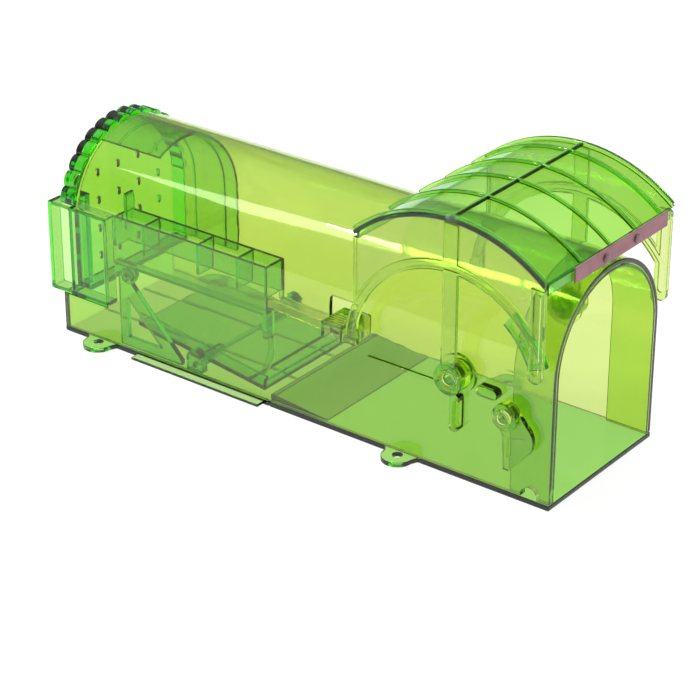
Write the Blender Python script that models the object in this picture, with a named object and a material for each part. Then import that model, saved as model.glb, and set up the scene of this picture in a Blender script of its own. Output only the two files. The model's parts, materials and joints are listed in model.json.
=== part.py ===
"""Live catch trap: a clear arched tunnel with a swing-down door, a treadle, a trip lever and a pull-off rear cap.

Frame: +X out of the mouth, +Y to the far side, +Z up, the object standing on Z = 0 with its box centred on the origin.
Lengths are metres. A distance called "back" is measured from the mouth plane towards the rear.
"""

import math

import bmesh
import bpy
from mathutils import Matrix

MM = 0.001
GAP = 0.3 * MM
OVER = 1 * MM

# Tunnel
MOUTH_X = 121.7 * MM
TUNNEL_LENGTH = 238 * MM
HALF_WIDTH = 35 * MM
TUNNEL_HEIGHT = 86 * MM
WALL = 1.8 * MM
ARCH_Z = TUNNEL_HEIGHT - HALF_WIDTH
ARCH_STEPS = 36

# Floors
FLOOR = 2.2 * MM
TRAY = 1.5 * MM
FLOOR_SPLIT = 130 * MM
WALL_FOOT = FLOOR + GAP
SKID_BACK = (133 * MM, 199 * MM)
SKID_Y = 38.5 * MM
LUG_RADIUS = 6.4 * MM
LUG_HOLE = 2.1 * MM
LUG_REACH = 4.2 * MM
FRONT_LUG_BACK = 66 * MM
REAR_LUG_BACK = 217.5 * MM
RAMP_LENGTH = 28 * MM
RAMP_TOP = 5.2 * MM

# Mouth collar
COLLAR_LENGTH = 18 * MM
COLLAR_WALL = 1.1 * MM

# Swing door
DOOR_BACK = 40.6 * MM
DOOR_Z = 44.1 * MM
ROOF_RADIUS = 63.7 * MM
ROOF_WALL = 1.5 * MM
RIB_HEIGHT = 1.3 * MM
RIB_WIDTH = 1.8 * MM
DOOR_HALF = 43 * MM
DOOR_FRONT = 40.3 * MM
DOOR_REAR = -42.9 * MM
CHEEK_IN = 41.3 * MM
CHEEK_RIM_IN = 40.8 * MM
RIM_RADIUS = 42.5 * MM
RIM_DEPTH = 4 * MM
SPOKE_WIDTH = 6.4 * MM
HUB_RADIUS = 6.6 * MM
PIN_RADIUS = 2.6 * MM
PIN_HEAD = 5 * MM
PAD_RADIUS = 7.8 * MM
PAD_HEIGHT = 1.3 * MM
STRIKER_RADII = (35.5 * MM, 43.5 * MM)
STRIKER_IN = -38.4 * MM
RIB_PLACES = [-20.4 * MM, -1.7 * MM, 15 * MM, 32.4 * MM]
STRIP_Y = (-25 * MM, 36.7 * MM)
RIVET_PLACES = {"strip_rivet_near": -5.5 * MM, "strip_rivet_far": 15 * MM}
RIVET_SHANK = 0.8 * MM
RIVET_HEAD = 1.7 * MM

# Lock pawl
PAWL_BACK = 17.5 * MM
PAWL_Z = 35 * MM
PAWL_HUB = 5.4 * MM
PAWL_TAIL = 22.5 * MM
PAWL_Y = (-40.3 * MM, -35.7 * MM)
PAWL_TAIL_OUT = -38 * MM

# Trip lever
LEVER_BACK = 206 * MM
LEVER_Z = 32.4 * MM
CHANNEL_BACK = (133 * MM, 212.2 * MM)
CHANNEL_Y = (-31.3 * MM, -19.9 * MM)
CHANNEL_Z = (36.8 * MM, 57.4 * MM)
CHANNEL_FAR_Z = 43.4 * MM
CHANNEL_WALL = 1.4 * MM
WEB_PLACES = [148 * MM, 168 * MM, 196 * MM]
LEG_FOOT = 26.8 * MM
RAIL_SIZE = (1.6 * MM, 3.4 * MM)
CATCH_BACK = (90 * MM, 99.5 * MM)
CATCH_Z = (38.6 * MM, 47 * MM)
WINDOW_BACK = (87.2 * MM, 100.2 * MM)
WINDOW_Z = (42.4 * MM, 57 * MM)

# Treadle
TREADLE_BACK = 170 * MM
TREADLE_Z = 4.4 * MM
TREADLE_SPAN = (-33.5 * MM, 33 * MM)
TREADLE_HALF = 28 * MM
TREADLE_SLOPE = math.radians(7.5)
TREADLE_WALL = 1.4 * MM
AXLE_RADIUS = 1.1 * MM
KNUCKLE_RADIUS = 2.3 * MM
FINGER_LEAN = 4.3 * MM
FINGER_BOW = 2.2 * MM

# Rear cap
CAP_BACK = (229.6 * MM, 237.2 * MM)
CAP_FOOT = 17.5 * MM
CAP_WALL = 2.6 * MM
CAP_FACE_BACK = 235.6 * MM
SLEEVE_BACK = 200 * MM
SLEEVE_WALL = 1.2 * MM
SCALLOPS = 15
SCALLOP_HEIGHT = 1.5 * MM
SLOT_PITCH = 12.2 * MM
SLOT_SIZE = (1.8 * MM, 3.6 * MM)
HATCH_BACK = (213.8 * MM, 244.8 * MM)
HATCH_TOP = 56.6 * MM
HATCH_DEPTH = 7 * MM


def clear_scene():
    for item in list(bpy.data.objects):
        bpy.data.objects.remove(item, do_unlink=True)
    for group in list(bpy.data.collections):
        bpy.data.collections.remove(group)


def plastic(name, colour, roughness, transmission):
    material = bpy.data.materials.new(name)
    material.use_nodes = True
    shader = material.node_tree.nodes["Principled BSDF"]
    shader.inputs["Base Color"].default_value = (*colour, 1)
    shader.inputs["Roughness"].default_value = roughness
    shader.inputs["Transmission Weight"].default_value = transmission
    shader.inputs["Metallic"].default_value = 0
    material.diffuse_color = (*colour, 1)
    return material


def metal(name, colour, roughness):
    material = plastic(name, colour, roughness, 0)
    material.node_tree.nodes["Principled BSDF"].inputs["Metallic"].default_value = 1
    return material


def world_x(back):
    return MOUTH_X - back


# How an outline drawn in two axes, and pulled along the third, lies in the world
PLANES = {
    "side": Matrix(((1, 0, 0, 0), (0, 0, -1, 0), (0, 1, 0, 0), (0, 0, 0, 1))),
    "section": Matrix(((0, 0, 1, 0), (1, 0, 0, 0), (0, 1, 0, 0), (0, 0, 0, 1))),
    "plan": Matrix.Identity(4),
}


def pulled_mesh(outlines, low, high, plane):
    """A flat outline, with any holes as further outlines, pulled along its plane's third axis from low to high."""
    curve = bpy.data.curves.new("outline", "CURVE")
    curve.dimensions = "2D"
    curve.fill_mode = "BOTH"
    curve.extrude = (high - low) / 2
    for outline in outlines:
        spline = curve.splines.new("POLY")
        spline.points.add(len(outline) - 1)
        for point, (across, up) in zip(spline.points, outline):
            point.co = (across, up, 0, 1)
        spline.use_cyclic_u = True
    holder = bpy.data.objects.new("outline", curve)
    bpy.context.scene.collection.objects.link(holder)
    graph = bpy.context.evaluated_depsgraph_get()
    mesh = bpy.data.meshes.new_from_object(holder.evaluated_get(graph))
    bpy.data.objects.remove(holder)
    middle = (high + low) / 2
    if plane == "side":
        middle = -middle
    mesh.transform(PLANES[plane] @ Matrix.Translation((0, 0, middle)))
    weld(mesh)
    return mesh


def weld(mesh):
    work = bmesh.new()
    work.from_mesh(mesh)
    bmesh.ops.remove_doubles(work, verts=work.verts, dist=0.000002)
    bmesh.ops.recalc_face_normals(work, faces=work.faces)
    work.to_mesh(mesh)
    work.free()


def put(name, mesh, material):
    mesh.name = name
    mesh.materials.clear()
    mesh.materials.append(material)
    item = bpy.data.objects.new(name, mesh)
    PARTS.objects.link(item)
    mesh.shade_smooth()
    mesh.set_sharp_from_angle(angle=math.radians(30))
    return item


def tool(name, mesh):
    item = bpy.data.objects.new(name, mesh)
    CUTTERS.objects.link(item)
    item.hide_render = True
    item.display_type = "WIRE"
    return item


def change(item, mesh, operation):
    """Adds a mesh to a piece (UNION) or takes it away (DIFFERENCE)."""
    step = item.modifiers.new(operation.lower(), "BOOLEAN")
    step.operation = operation
    step.solver = "EXACT"
    step.object = tool(item.name + "_" + operation.lower() + str(len(item.modifiers)), mesh)


def block_mesh(x, y, z):
    corners = [(x[0], z[0]), (x[1], z[0]), (x[1], z[1]), (x[0], z[1])]
    return pulled_mesh([corners], y[0], y[1], "side")


def rod_mesh(radius, x, z, y, steps=28):
    return pulled_mesh([arc(x, z, radius, 0, 360, steps)[:-1]], y[0], y[1], "side")


def arc(across, up, radius, start, end, steps):
    """Points on an arc, angles in degrees from the first axis towards the second."""
    points = []
    for step in range(steps + 1):
        angle = math.radians(start + (end - start) * step / steps)
        points.append((across + radius * math.cos(angle), up + radius * math.sin(angle)))
    return points


def arch_band(half, wall, foot):
    """An upside-down U: straight sides from the foot up to the arch centre's height, then a half circle."""
    outer = [(half, foot)] + arc(0, ARCH_Z, half, 0, 180, ARCH_STEPS) + [(-half, foot)]
    inside = half - wall
    inner = [(-inside, foot)] + arc(0, ARCH_Z, inside, 180, 0, ARCH_STEPS) + [(inside, foot)]
    return outer + inner


def rounded_bar(centre, length, width, upright):
    """A long hole or bar with half-round ends."""
    half = (length - width) / 2
    radius = width / 2
    if upright:
        top = arc(centre[0], centre[1] + half, radius, 0, 180, 8)
        return top + arc(centre[0], centre[1] - half, radius, 180, 360, 8)
    right = arc(centre[0] + half, centre[1], radius, -90, 90, 8)
    return right + arc(centre[0] - half, centre[1], radius, 90, 270, 8)


def span(back):
    """World X limits of a stretch given by its distances behind the mouth, nearest first."""
    return (world_x(back[1]), world_x(back[0]))


def build_tunnel():
    shell = put("tunnel_shell", pulled_mesh([arch_band(HALF_WIDTH, WALL, WALL_FOOT)], *span((0, TUNNEL_LENGTH)),
                                            "section"), GREEN)
    door_x = world_x(DOOR_BACK)
    for side in (-1, 1):
        pad = sorted((side * (HALF_WIDTH - OVER / 2), side * (HALF_WIDTH + PAD_HEIGHT)))
        change(shell, rod_mesh(PAD_RADIUS, door_x, DOOR_Z, pad, 40), "UNION")
    near = (-HALF_WIDTH - 2 * MM, -HALF_WIDTH + OVER / 2)
    short_peg = rounded_bar((world_x(26.5 * MM), 41.4 * MM), 9.5 * MM, 4.4 * MM, False)
    change(shell, pulled_mesh([short_peg], -38.6 * MM, near[1], "side"), "UNION")
    long_peg = rounded_bar((door_x, 28.7 * MM), 16 * MM, 4.6 * MM, True)
    change(shell, pulled_mesh([long_peg], -38.4 * MM, near[1], "side"), "UNION")
    rib = (world_x(82 * MM), door_x - PAD_RADIUS + OVER)
    change(shell, block_mesh(rib, (-HALF_WIDTH - 0.9 * MM, near[1]), (36.3 * MM, 38 * MM)), "UNION")
    both = (-HALF_WIDTH - 3 * MM, HALF_WIDTH + 3 * MM)
    change(shell, rod_mesh(PIN_RADIUS + GAP, door_x, DOOR_Z, both), "DIFFERENCE")
    through = (-HALF_WIDTH - 3 * MM, -HALF_WIDTH + 4 * MM)
    change(shell, rod_mesh(2 * MM + GAP, world_x(PAWL_BACK), PAWL_Z, through), "DIFFERENCE")
    change(shell, block_mesh(span(WINDOW_BACK), through, WINDOW_Z), "DIFFERENCE")
    hatch = (world_x(TUNNEL_LENGTH + OVER), world_x(HATCH_BACK[0] - GAP))
    change(shell, block_mesh(hatch, through, (CAP_FOOT - GAP, HATCH_TOP + GAP)), "DIFFERENCE")
    end = (world_x(TUNNEL_LENGTH + OVER), world_x(CAP_BACK[0] - GAP))
    change(shell, block_mesh(end, both, (CAP_FOOT - GAP, TUNNEL_HEIGHT + OVER)), "DIFFERENCE")
    notch = rod_mesh(3.5 * MM, world_x(9 * MM), WALL_FOOT + 0.8 * MM, through, 24)
    change(shell, notch, "DIFFERENCE")

    collar_half = HALF_WIDTH - WALL - GAP
    put("mouth_collar", pulled_mesh([arch_band(collar_half, COLLAR_WALL, WALL_FOOT)],
                                    *span((0, COLLAR_LENGTH)), "section"), FROSTED)


def lug_outline(x, side):
    """A D-shaped ear standing out of the floor's edge, with its eyelet hole as a second outline."""
    root = side * (HALF_WIDTH - OVER)
    centre = side * (HALF_WIDTH + LUG_REACH - LUG_RADIUS / 4)
    start, end = (0, 180) if side > 0 else (360, 180)
    ear = [(x + LUG_RADIUS * 1.25, root)] + arc(x, centre, LUG_RADIUS, start, end, 16)
    return ear + [(x - LUG_RADIUS * 1.25, root)], arc(x, centre, LUG_HOLE, 0, 360, 16)[:-1]


def add_lugs(floor, back, height):
    for side in (-1, 1):
        ear, hole = lug_outline(world_x(back), side)
        change(floor, pulled_mesh([ear], 0, height, "plan"), "UNION")
        change(floor, pulled_mesh([hole], -OVER, height + OVER, "plan"), "DIFFERENCE")


def build_floors():
    full = (-HALF_WIDTH, HALF_WIDTH)
    front = put("front_floor", block_mesh(span((0, FLOOR_SPLIT)), full, (0, FLOOR)), GREEN)
    add_lugs(front, FRONT_LUG_BACK, FLOOR - 0.2 * MM)

    tray = put("rear_tray", block_mesh(span((FLOOR_SPLIT + GAP, TUNNEL_LENGTH)), full, (0, TRAY)), GREEN)
    change(tray, block_mesh(span(SKID_BACK), (-SKID_Y, SKID_Y), (0, TRAY - 0.3 * MM)), "UNION")
    for side in (-1, 1):
        ledge = sorted((side * (HALF_WIDTH - WALL - 0.1 * MM), side * HALF_WIDTH))
        change(tray, block_mesh(span((FLOOR_SPLIT + GAP, TUNNEL_LENGTH)), ledge, (0, FLOOR)), "UNION")
    inside = HALF_WIDTH - WALL - GAP
    sill = span((TUNNEL_LENGTH - 1.6 * MM, TUNNEL_LENGTH))
    change(tray, block_mesh(sill, (-inside, inside), (0, CAP_FOOT - GAP)), "UNION")
    add_lugs(tray, REAR_LUG_BACK, FLOOR - 0.2 * MM)

    low = world_x(FLOOR_SPLIT - RAMP_LENGTH)
    high = world_x(FLOOR_SPLIT)
    bed = FLOOR + GAP
    wedge = [(high, bed), (low, bed), (low, bed + 0.4 * MM), (high + 2 * MM, RAMP_TOP), (high, RAMP_TOP)]
    put("floor_ramp", pulled_mesh([wedge], -inside, inside, "side"), GREEN)


def roof_band(inner, outer, start, end, steps=26):
    x = world_x(DOOR_BACK)
    return arc(x, DOOR_Z, outer, start, end, steps) + arc(x, DOOR_Z, inner, end, start, steps)


def build_door_roof():
    inner = ROOF_RADIUS - ROOF_WALL
    front_angle = math.degrees(math.acos(DOOR_FRONT / ROOF_RADIUS))
    rear_angle = math.degrees(math.acos(DOOR_REAR / ROOF_RADIUS))
    roof = put("visor_roof", pulled_mesh([roof_band(inner, ROOF_RADIUS, front_angle, rear_angle)],
                                         -DOOR_HALF, DOOR_HALF, "side"), GREEN)
    edges = [-DOOR_HALF + RIB_WIDTH, DOOR_HALF - RIB_WIDTH]
    for place in RIB_PLACES + edges:
        rib = roof_band(inner + 0.4 * MM, ROOF_RADIUS + RIB_HEIGHT, front_angle + 0.8, rear_angle - 0.8)
        change(roof, pulled_mesh([rib], place - RIB_WIDTH / 2, place + RIB_WIDTH / 2, "side"), "UNION")
    x = world_x(DOOR_BACK)
    ridge_half = DOOR_HALF - 0.4 * MM
    ridge_z = (DOOR_Z + inner + 0.4 * MM, DOOR_Z + ROOF_RADIUS + RIB_HEIGHT - 0.2 * MM)
    change(roof, block_mesh((x - 0.9 * MM, x + 0.9 * MM), (-ridge_half, ridge_half), ridge_z), "UNION")
    lip_half = CHEEK_RIM_IN - GAP
    front = x + DOOR_FRONT
    lip_z = DOOR_Z + math.sqrt(ROOF_RADIUS**2 - DOOR_FRONT**2)
    lip = (lip_z - 4.7 * MM, lip_z - 0.4 * MM)
    change(roof, block_mesh((front - 1.7 * MM, front - 0.2 * MM), (-lip_half, lip_half), lip), "UNION")
    rear = x + DOOR_REAR
    rear_z = DOOR_Z + math.sqrt(ROOF_RADIUS**2 - DOOR_REAR**2)
    change(roof, block_mesh((rear + 0.2 * MM, rear + 1.6 * MM), (-lip_half, lip_half),
                            (rear_z - 3.4 * MM, rear_z - 0.4 * MM)), "UNION")

    build_strip(roof, front, lip_z)


def build_strip(roof, front, lip_z):
    """The metal strip across the roof's front lip, and the two rivets through both: a shank and a low outer head."""
    strip_x = (front + 0.1 * MM, front + 0.9 * MM)
    strip_z = (lip_z - 5.6 * MM, lip_z + 0.6 * MM)
    strip = put("door_weight_strip", block_mesh(strip_x, STRIP_Y, strip_z), STEEL)
    rivet_z = (strip_z[0] + strip_z[1]) / 2 - 0.2 * MM
    head = (strip_x[1] + GAP, strip_x[1] + 0.8 * MM)
    for name, place in RIVET_PLACES.items():
        hole = arc(place, rivet_z, RIVET_SHANK + GAP, 0, 360, 16)[:-1]
        change(strip, pulled_mesh([hole], strip_x[0] - OVER, strip_x[1] + OVER, "section"), "DIFFERENCE")
        change(roof, pulled_mesh([hole], front - 3 * MM, strip_x[0], "section"), "DIFFERENCE")
        mesh = turned([(0, front - 2.2 * MM), (RIVET_SHANK, front - 2.2 * MM), (RIVET_SHANK, head[0]),
                       (RIVET_HEAD, head[0]), (RIVET_HEAD - 0.2 * MM, head[1]), (0, head[1])], 20)
        mesh.transform(Matrix.Translation((0, place, rivet_z)) @ Matrix.Rotation(math.radians(90), 4, "Y"))
        put(name, mesh, STEEL)


def turned(profile, steps):
    """A solid turned about Z from (radius, height) pairs that start and end on the axis."""
    work = bmesh.new()
    rings = []
    for radius, height in profile:
        if radius == 0:
            rings.append([work.verts.new((0, 0, height))])
            continue
        ring = []
        for step in range(steps):
            angle = 2 * math.pi * step / steps
            ring.append(work.verts.new((radius * math.cos(angle), radius * math.sin(angle), height)))
        rings.append(ring)
    for lower, upper in zip(rings, rings[1:]):
        for step in range(steps):
            following = (step + 1) % steps
            if len(lower) == 1:
                work.faces.new((lower[0], upper[following], upper[step]))
            elif len(upper) == 1:
                work.faces.new((lower[step], lower[following], upper[0]))
            else:
                work.faces.new((lower[step], lower[following], upper[following], upper[step]))
    bmesh.ops.recalc_face_normals(work, faces=work.faces)
    mesh = bpy.data.meshes.new("turned")
    work.to_mesh(mesh)
    work.free()
    return mesh


def across(side, inner, outer):
    return tuple(sorted((side * inner, side * outer)))


def build_cheek(name, side):
    """One side plate of the door: a ring of plate under the roof, its arch rim, the front stile, the spoke and hub."""
    x = world_x(DOOR_BACK)
    outer = ROOF_RADIUS - ROOF_WALL - GAP
    front = DOOR_FRONT - 0.2 * MM
    rear = DOOR_REAR + 0.2 * MM
    start = math.degrees(math.acos(front / outer))
    end = math.degrees(math.acos(rear / outer))
    inner = RIM_RADIUS + 0.2 * MM
    foot_front = math.degrees(math.acos((front - 0.4 * MM) / inner))
    foot_rear = 180 - math.degrees(math.asin(4 * MM / inner))
    plate = arc(x, DOOR_Z, outer, start, end, 28) + [(x + rear, DOOR_Z + 3.8 * MM)]
    plate += arc(x, DOOR_Z, inner, foot_rear, foot_front, 28)
    plate += [(x + front, DOOR_Z + inner * math.sin(math.radians(foot_front)))]
    cheek = put(name, pulled_mesh([plate], *across(side, CHEEK_IN, DOOR_HALF - 0.3 * MM), "side"), GREEN)
    thick = across(side, CHEEK_RIM_IN, DOOR_HALF - 0.1 * MM)
    rim_start = math.degrees(math.acos((front - 0.3 * MM) / (RIM_RADIUS + RIM_DEPTH)))
    rim = roof_band(RIM_RADIUS, RIM_RADIUS + RIM_DEPTH, rim_start, foot_rear + 2, 25)
    change(cheek, pulled_mesh([rim], *thick, "side"), "UNION")
    stile_x = (x + front - 7.4 * MM, x + front - 0.15 * MM)
    stile_top = DOOR_Z + math.sqrt(outer**2 - (stile_x[1] - x) ** 2) - 0.3 * MM
    stile_mid = (stile_x[0] + stile_x[1]) / 2
    bend = (stile_x[1] - stile_x[0]) / 2
    stile = [(stile_x[1], stile_top), (stile_x[0], stile_top)]
    stile += arc(stile_mid, DOOR_Z + 10.3 * MM + bend, bend, 180, 360, 13)
    change(cheek, pulled_mesh([stile], *across(side, CHEEK_RIM_IN + 0.1 * MM, DOOR_HALF), "side"), "UNION")
    half = SPOKE_WIDTH / 2
    spoke = [(x - half, DOOR_Z), (x + half, DOOR_Z), (x + half, DOOR_Z + outer - 0.3 * MM),
             (x - half, DOOR_Z + outer - 0.3 * MM)]
    change(cheek, pulled_mesh([spoke], *across(side, CHEEK_RIM_IN + 0.2 * MM, DOOR_HALF - 0.2 * MM), "side"), "UNION")
    tab = [(x - 47.4 * MM, DOOR_Z + 0.5 * MM), (x - 41 * MM, DOOR_Z + 0.5 * MM), (x - 41 * MM, DOOR_Z + 7.5 * MM),
           (x - 44.2 * MM, DOOR_Z + 7.5 * MM), (x - 47.4 * MM, DOOR_Z + 4.4 * MM)]
    change(cheek, pulled_mesh([tab], *across(side, CHEEK_RIM_IN + 0.3 * MM, DOOR_HALF - 0.15 * MM), "side"), "UNION")
    hub = across(side, HALF_WIDTH + PAD_HEIGHT + GAP, DOOR_HALF)
    change(cheek, rod_mesh(HUB_RADIUS, x, DOOR_Z, hub, 32), "UNION")
    bore = across(side, HALF_WIDTH, DOOR_HALF + OVER)
    change(cheek, rod_mesh(PIN_RADIUS + GAP, x, DOOR_Z, bore), "DIFFERENCE")
    counterbore = across(side, DOOR_HALF - 1.6 * MM, DOOR_HALF + OVER)
    change(cheek, rod_mesh(4.4 * MM, x, DOOR_Z, counterbore), "DIFFERENCE")
    return cheek


def build_door_pin(name, side):
    """A pivot pin: a flat head inside the tunnel, a shaft through wall and hub, and a snap head in the hub."""
    inner = HALF_WIDTH - WALL - GAP
    profile = [(0, inner - 1 * MM), (PIN_HEAD, inner - 1 * MM), (PIN_HEAD, inner), (PIN_RADIUS, inner),
               (PIN_RADIUS, DOOR_HALF - 1.3 * MM), (3.9 * MM, DOOR_HALF - 1.3 * MM), (3.5 * MM, DOOR_HALF - 0.2 * MM),
               (0, DOOR_HALF - 0.2 * MM)]
    mesh = turned(profile, 28)
    mesh.transform(Matrix.Translation((world_x(DOOR_BACK), 0, DOOR_Z)) @ Matrix.Rotation(-side * math.pi / 2, 4, "X"))
    return put(name, mesh, GREEN)


def build_striker():
    """The thick block clipped to the near arch rim's inner face, for the pawl to meet once the door is down."""
    band = roof_band(STRIKER_RADII[0], STRIKER_RADII[1], 22, 52, 10)
    put("lock_striker", pulled_mesh([band], -CHEEK_RIM_IN + GAP, STRIKER_IN, "side"), GREEN)


def build_door():
    build_door_roof()
    build_cheek("visor_cheek_near", -1)
    build_cheek("visor_cheek_far", 1)
    build_striker()
    build_door_pin("door_pin_near", -1)
    build_door_pin("door_pin_far", 1)


def build_pawl():
    """A teardrop pawl: a thick round hub, a lobe towards the mouth and a thinner tail that hangs down."""
    x = world_x(PAWL_BACK)
    outline = arc(x, PAWL_Z, PAWL_HUB - 0.3 * MM, 60, 200, 14)
    outline += [(x - 2 * MM, PAWL_Z - 9 * MM), (x - 1.2 * MM, PAWL_Z - PAWL_TAIL)]
    outline += [(x + 1.2 * MM, PAWL_Z - PAWL_TAIL)]
    outline += arc(x + 4 * MM, PAWL_Z - 8 * MM, 7.4 * MM, -40, 50, 10)
    pawl = put("lock_pawl", pulled_mesh([outline], PAWL_TAIL_OUT, PAWL_Y[1], "side"), GREEN)
    change(pawl, rod_mesh(PAWL_HUB, x, PAWL_Z, (PAWL_Y[0], PAWL_Y[1] - 0.1 * MM), 32), "UNION")
    change(pawl, rod_mesh(2 * MM + GAP, x, PAWL_Z, (PAWL_Y[0] - OVER, PAWL_Y[1] + OVER)), "DIFFERENCE")
    head = -PAWL_Y[0] + GAP
    profile = [(0, HALF_WIDTH - WALL + GAP), (2 * MM, HALF_WIDTH - WALL + GAP), (2 * MM, head), (3.7 * MM, head),
               (3.3 * MM, head + 1.2 * MM), (0, head + 1.2 * MM)]
    mesh = turned(profile, 28)
    mesh.transform(Matrix.Translation((x, 0, PAWL_Z)) @ Matrix.Rotation(math.pi / 2, 4, "X"))
    put("lock_pawl_pin", mesh, GREEN)


def build_lever():
    near_y = (CHANNEL_Y[0], CHANNEL_Y[0] + CHANNEL_WALL)
    far_y = (CHANNEL_Y[1] - CHANNEL_WALL, CHANNEL_Y[1])
    channel_x = span(CHANNEL_BACK)
    lever = put("trip_lever", block_mesh(channel_x, near_y, CHANNEL_Z), GREEN)
    inset = 0.1 * MM
    inner_x = (channel_x[0] + inset, channel_x[1] - inset)
    change(lever, block_mesh(inner_x, far_y, (CHANNEL_FAR_Z, CHANNEL_Z[1] - inset)), "UNION")
    cross_y = (CHANNEL_Y[0] + inset, CHANNEL_Y[1] - inset)
    ends = [CHANNEL_BACK[0] + 0.9 * MM, CHANNEL_BACK[1] - 0.9 * MM]
    for place in WEB_PLACES + ends:
        web_x = span((place - 0.7 * MM, place + 0.7 * MM))
        change(lever, block_mesh(web_x, cross_y, (CHANNEL_FAR_Z + 1 * MM, CHANNEL_Z[1] - 2 * inset)), "UNION")
    ledge_y = (CHANNEL_Y[0] + 0.2 * MM, CHANNEL_Y[0] + 4.4 * MM)
    change(lever, block_mesh(inner_x, ledge_y, (CHANNEL_Z[0] + inset, CHANNEL_Z[0] + 1.5 * MM)), "UNION")
    leg_x = span((CHANNEL_BACK[0] + inset / 2, CHANNEL_BACK[0] + 2.6 * MM))
    leg_y = (CHANNEL_Y[0] + 0.3 * MM, CHANNEL_Y[0] + 5 * MM)
    change(lever, block_mesh(leg_x, leg_y, (LEG_FOOT, CHANNEL_Z[0] + 2 * MM)), "UNION")
    far_leg = span((CHANNEL_BACK[0] + inset / 2, CHANNEL_BACK[0] + 2 * MM))
    change(lever, block_mesh(far_leg, (far_y[0] + inset, far_y[1] - inset), (CHANNEL_FAR_Z - 3 * MM, 50 * MM)), "UNION")
    ear_x = world_x(LEVER_BACK)
    ear = [(ear_x - 4 * MM, CHANNEL_Z[0] + 1 * MM)] + arc(ear_x, LEVER_Z, 3.4 * MM, 180, 360, 12)
    ear += [(ear_x + 4 * MM, CHANNEL_Z[0] + 1 * MM)]
    change(lever, pulled_mesh([ear], -29 * MM, -27.2 * MM, "side"), "UNION")
    change(lever, rod_mesh(1.5 * MM + GAP, ear_x, LEVER_Z, (-31 * MM, -25 * MM), 20), "DIFFERENCE")
    tab_x = span((CHANNEL_BACK[1] - 2.6 * MM, CHANNEL_BACK[1] - 0.8 * MM))
    change(lever, block_mesh(tab_x, (-25 * MM, CHANNEL_Y[1] - 2 * inset), (50 * MM, 65 * MM)), "UNION")

    width, height = RAIL_SIZE
    rail_x = (world_x(CHANNEL_BACK[0]) + GAP, world_x(CATCH_BACK[1]) - GAP)
    for name, low_y, rear_z, front_z in (
        ("lever_rail_near", CHANNEL_Y[0] + 0.2 * MM, 44.6 * MM, 42.6 * MM),
        ("lever_rail_far", CHANNEL_Y[1] - 3.4 * MM, 42.4 * MM, 41.6 * MM),
    ):
        bar = [(rail_x[0], rear_z - height), (rail_x[1], front_z - height), (rail_x[1], front_z), (rail_x[0], rear_z)]
        put(name, pulled_mesh([bar], low_y, low_y + width, "side"), GREEN)

    head_y = (CHANNEL_Y[0], CHANNEL_Y[1] - 1.4 * MM)
    head = put("catch_head", block_mesh(span(CATCH_BACK), head_y, CATCH_Z), GREEN)
    finger_x = (world_x(CATCH_BACK[1] - 1 * MM), world_x(88.6 * MM))
    finger_y = (-DOOR_HALF + 0.4 * MM, CHANNEL_Y[0] + 3 * MM)
    change(head, block_mesh(finger_x, finger_y, (43.4 * MM, 50.4 * MM)), "UNION")
    build_lever_bracket()


def build_lever_bracket():
    """The post that carries the lever's pin, stiffened by a diagonal web down to the tray."""
    x = world_x(LEVER_BACK)
    bed = TRAY + GAP
    outline = [(x - 3.4 * MM, bed), (x + 29 * MM, bed), (x + 29 * MM, bed + 2 * MM), (x + 3.4 * MM, LEVER_Z - 2 * MM)]
    outline += arc(x, LEVER_Z, 3.4 * MM, 0, 180, 12)
    bracket = put("lever_bracket", pulled_mesh([outline], -31.8 * MM, -29.5 * MM, "side"), GREEN)
    change(bracket, rod_mesh(1.5 * MM + GAP, x, LEVER_Z, (-34 * MM, -28 * MM), 20), "DIFFERENCE")
    window = [(x + 0.6 * MM, bed + 4 * MM), (x + 19 * MM, bed + 4 * MM), (x + 0.6 * MM, 24 * MM)]
    change(bracket, pulled_mesh([window], -34 * MM, -28 * MM, "side"), "DIFFERENCE")
    profile = [(0, 25.6 * MM), (2.4 * MM, 25.6 * MM), (2.4 * MM, 26.9 * MM), (1.5 * MM, 26.9 * MM),
               (1.5 * MM, 32.3 * MM), (0, 32.3 * MM)]
    mesh = turned(profile, 20)
    mesh.transform(Matrix.Translation((x, 0, LEVER_Z)) @ Matrix.Rotation(math.pi / 2, 4, "X"))
    put("lever_pin", mesh, GREEN)


def treadle_points(points):
    """Turns (along, up) pairs measured on the level treadle by the slope it rests at, about its pivot."""
    x = world_x(TREADLE_BACK)
    cos, sin = math.cos(TREADLE_SLOPE), math.sin(TREADLE_SLOPE)
    turned_points = []
    for along, up in points:
        turned_points.append((x + along * cos + up * sin, TREADLE_Z - along * sin + up * cos))
    return turned_points


def treadle_box(along, up):
    return treadle_points([(along[0], up[0]), (along[1], up[0]), (along[1], up[1]), (along[0], up[1])])


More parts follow.
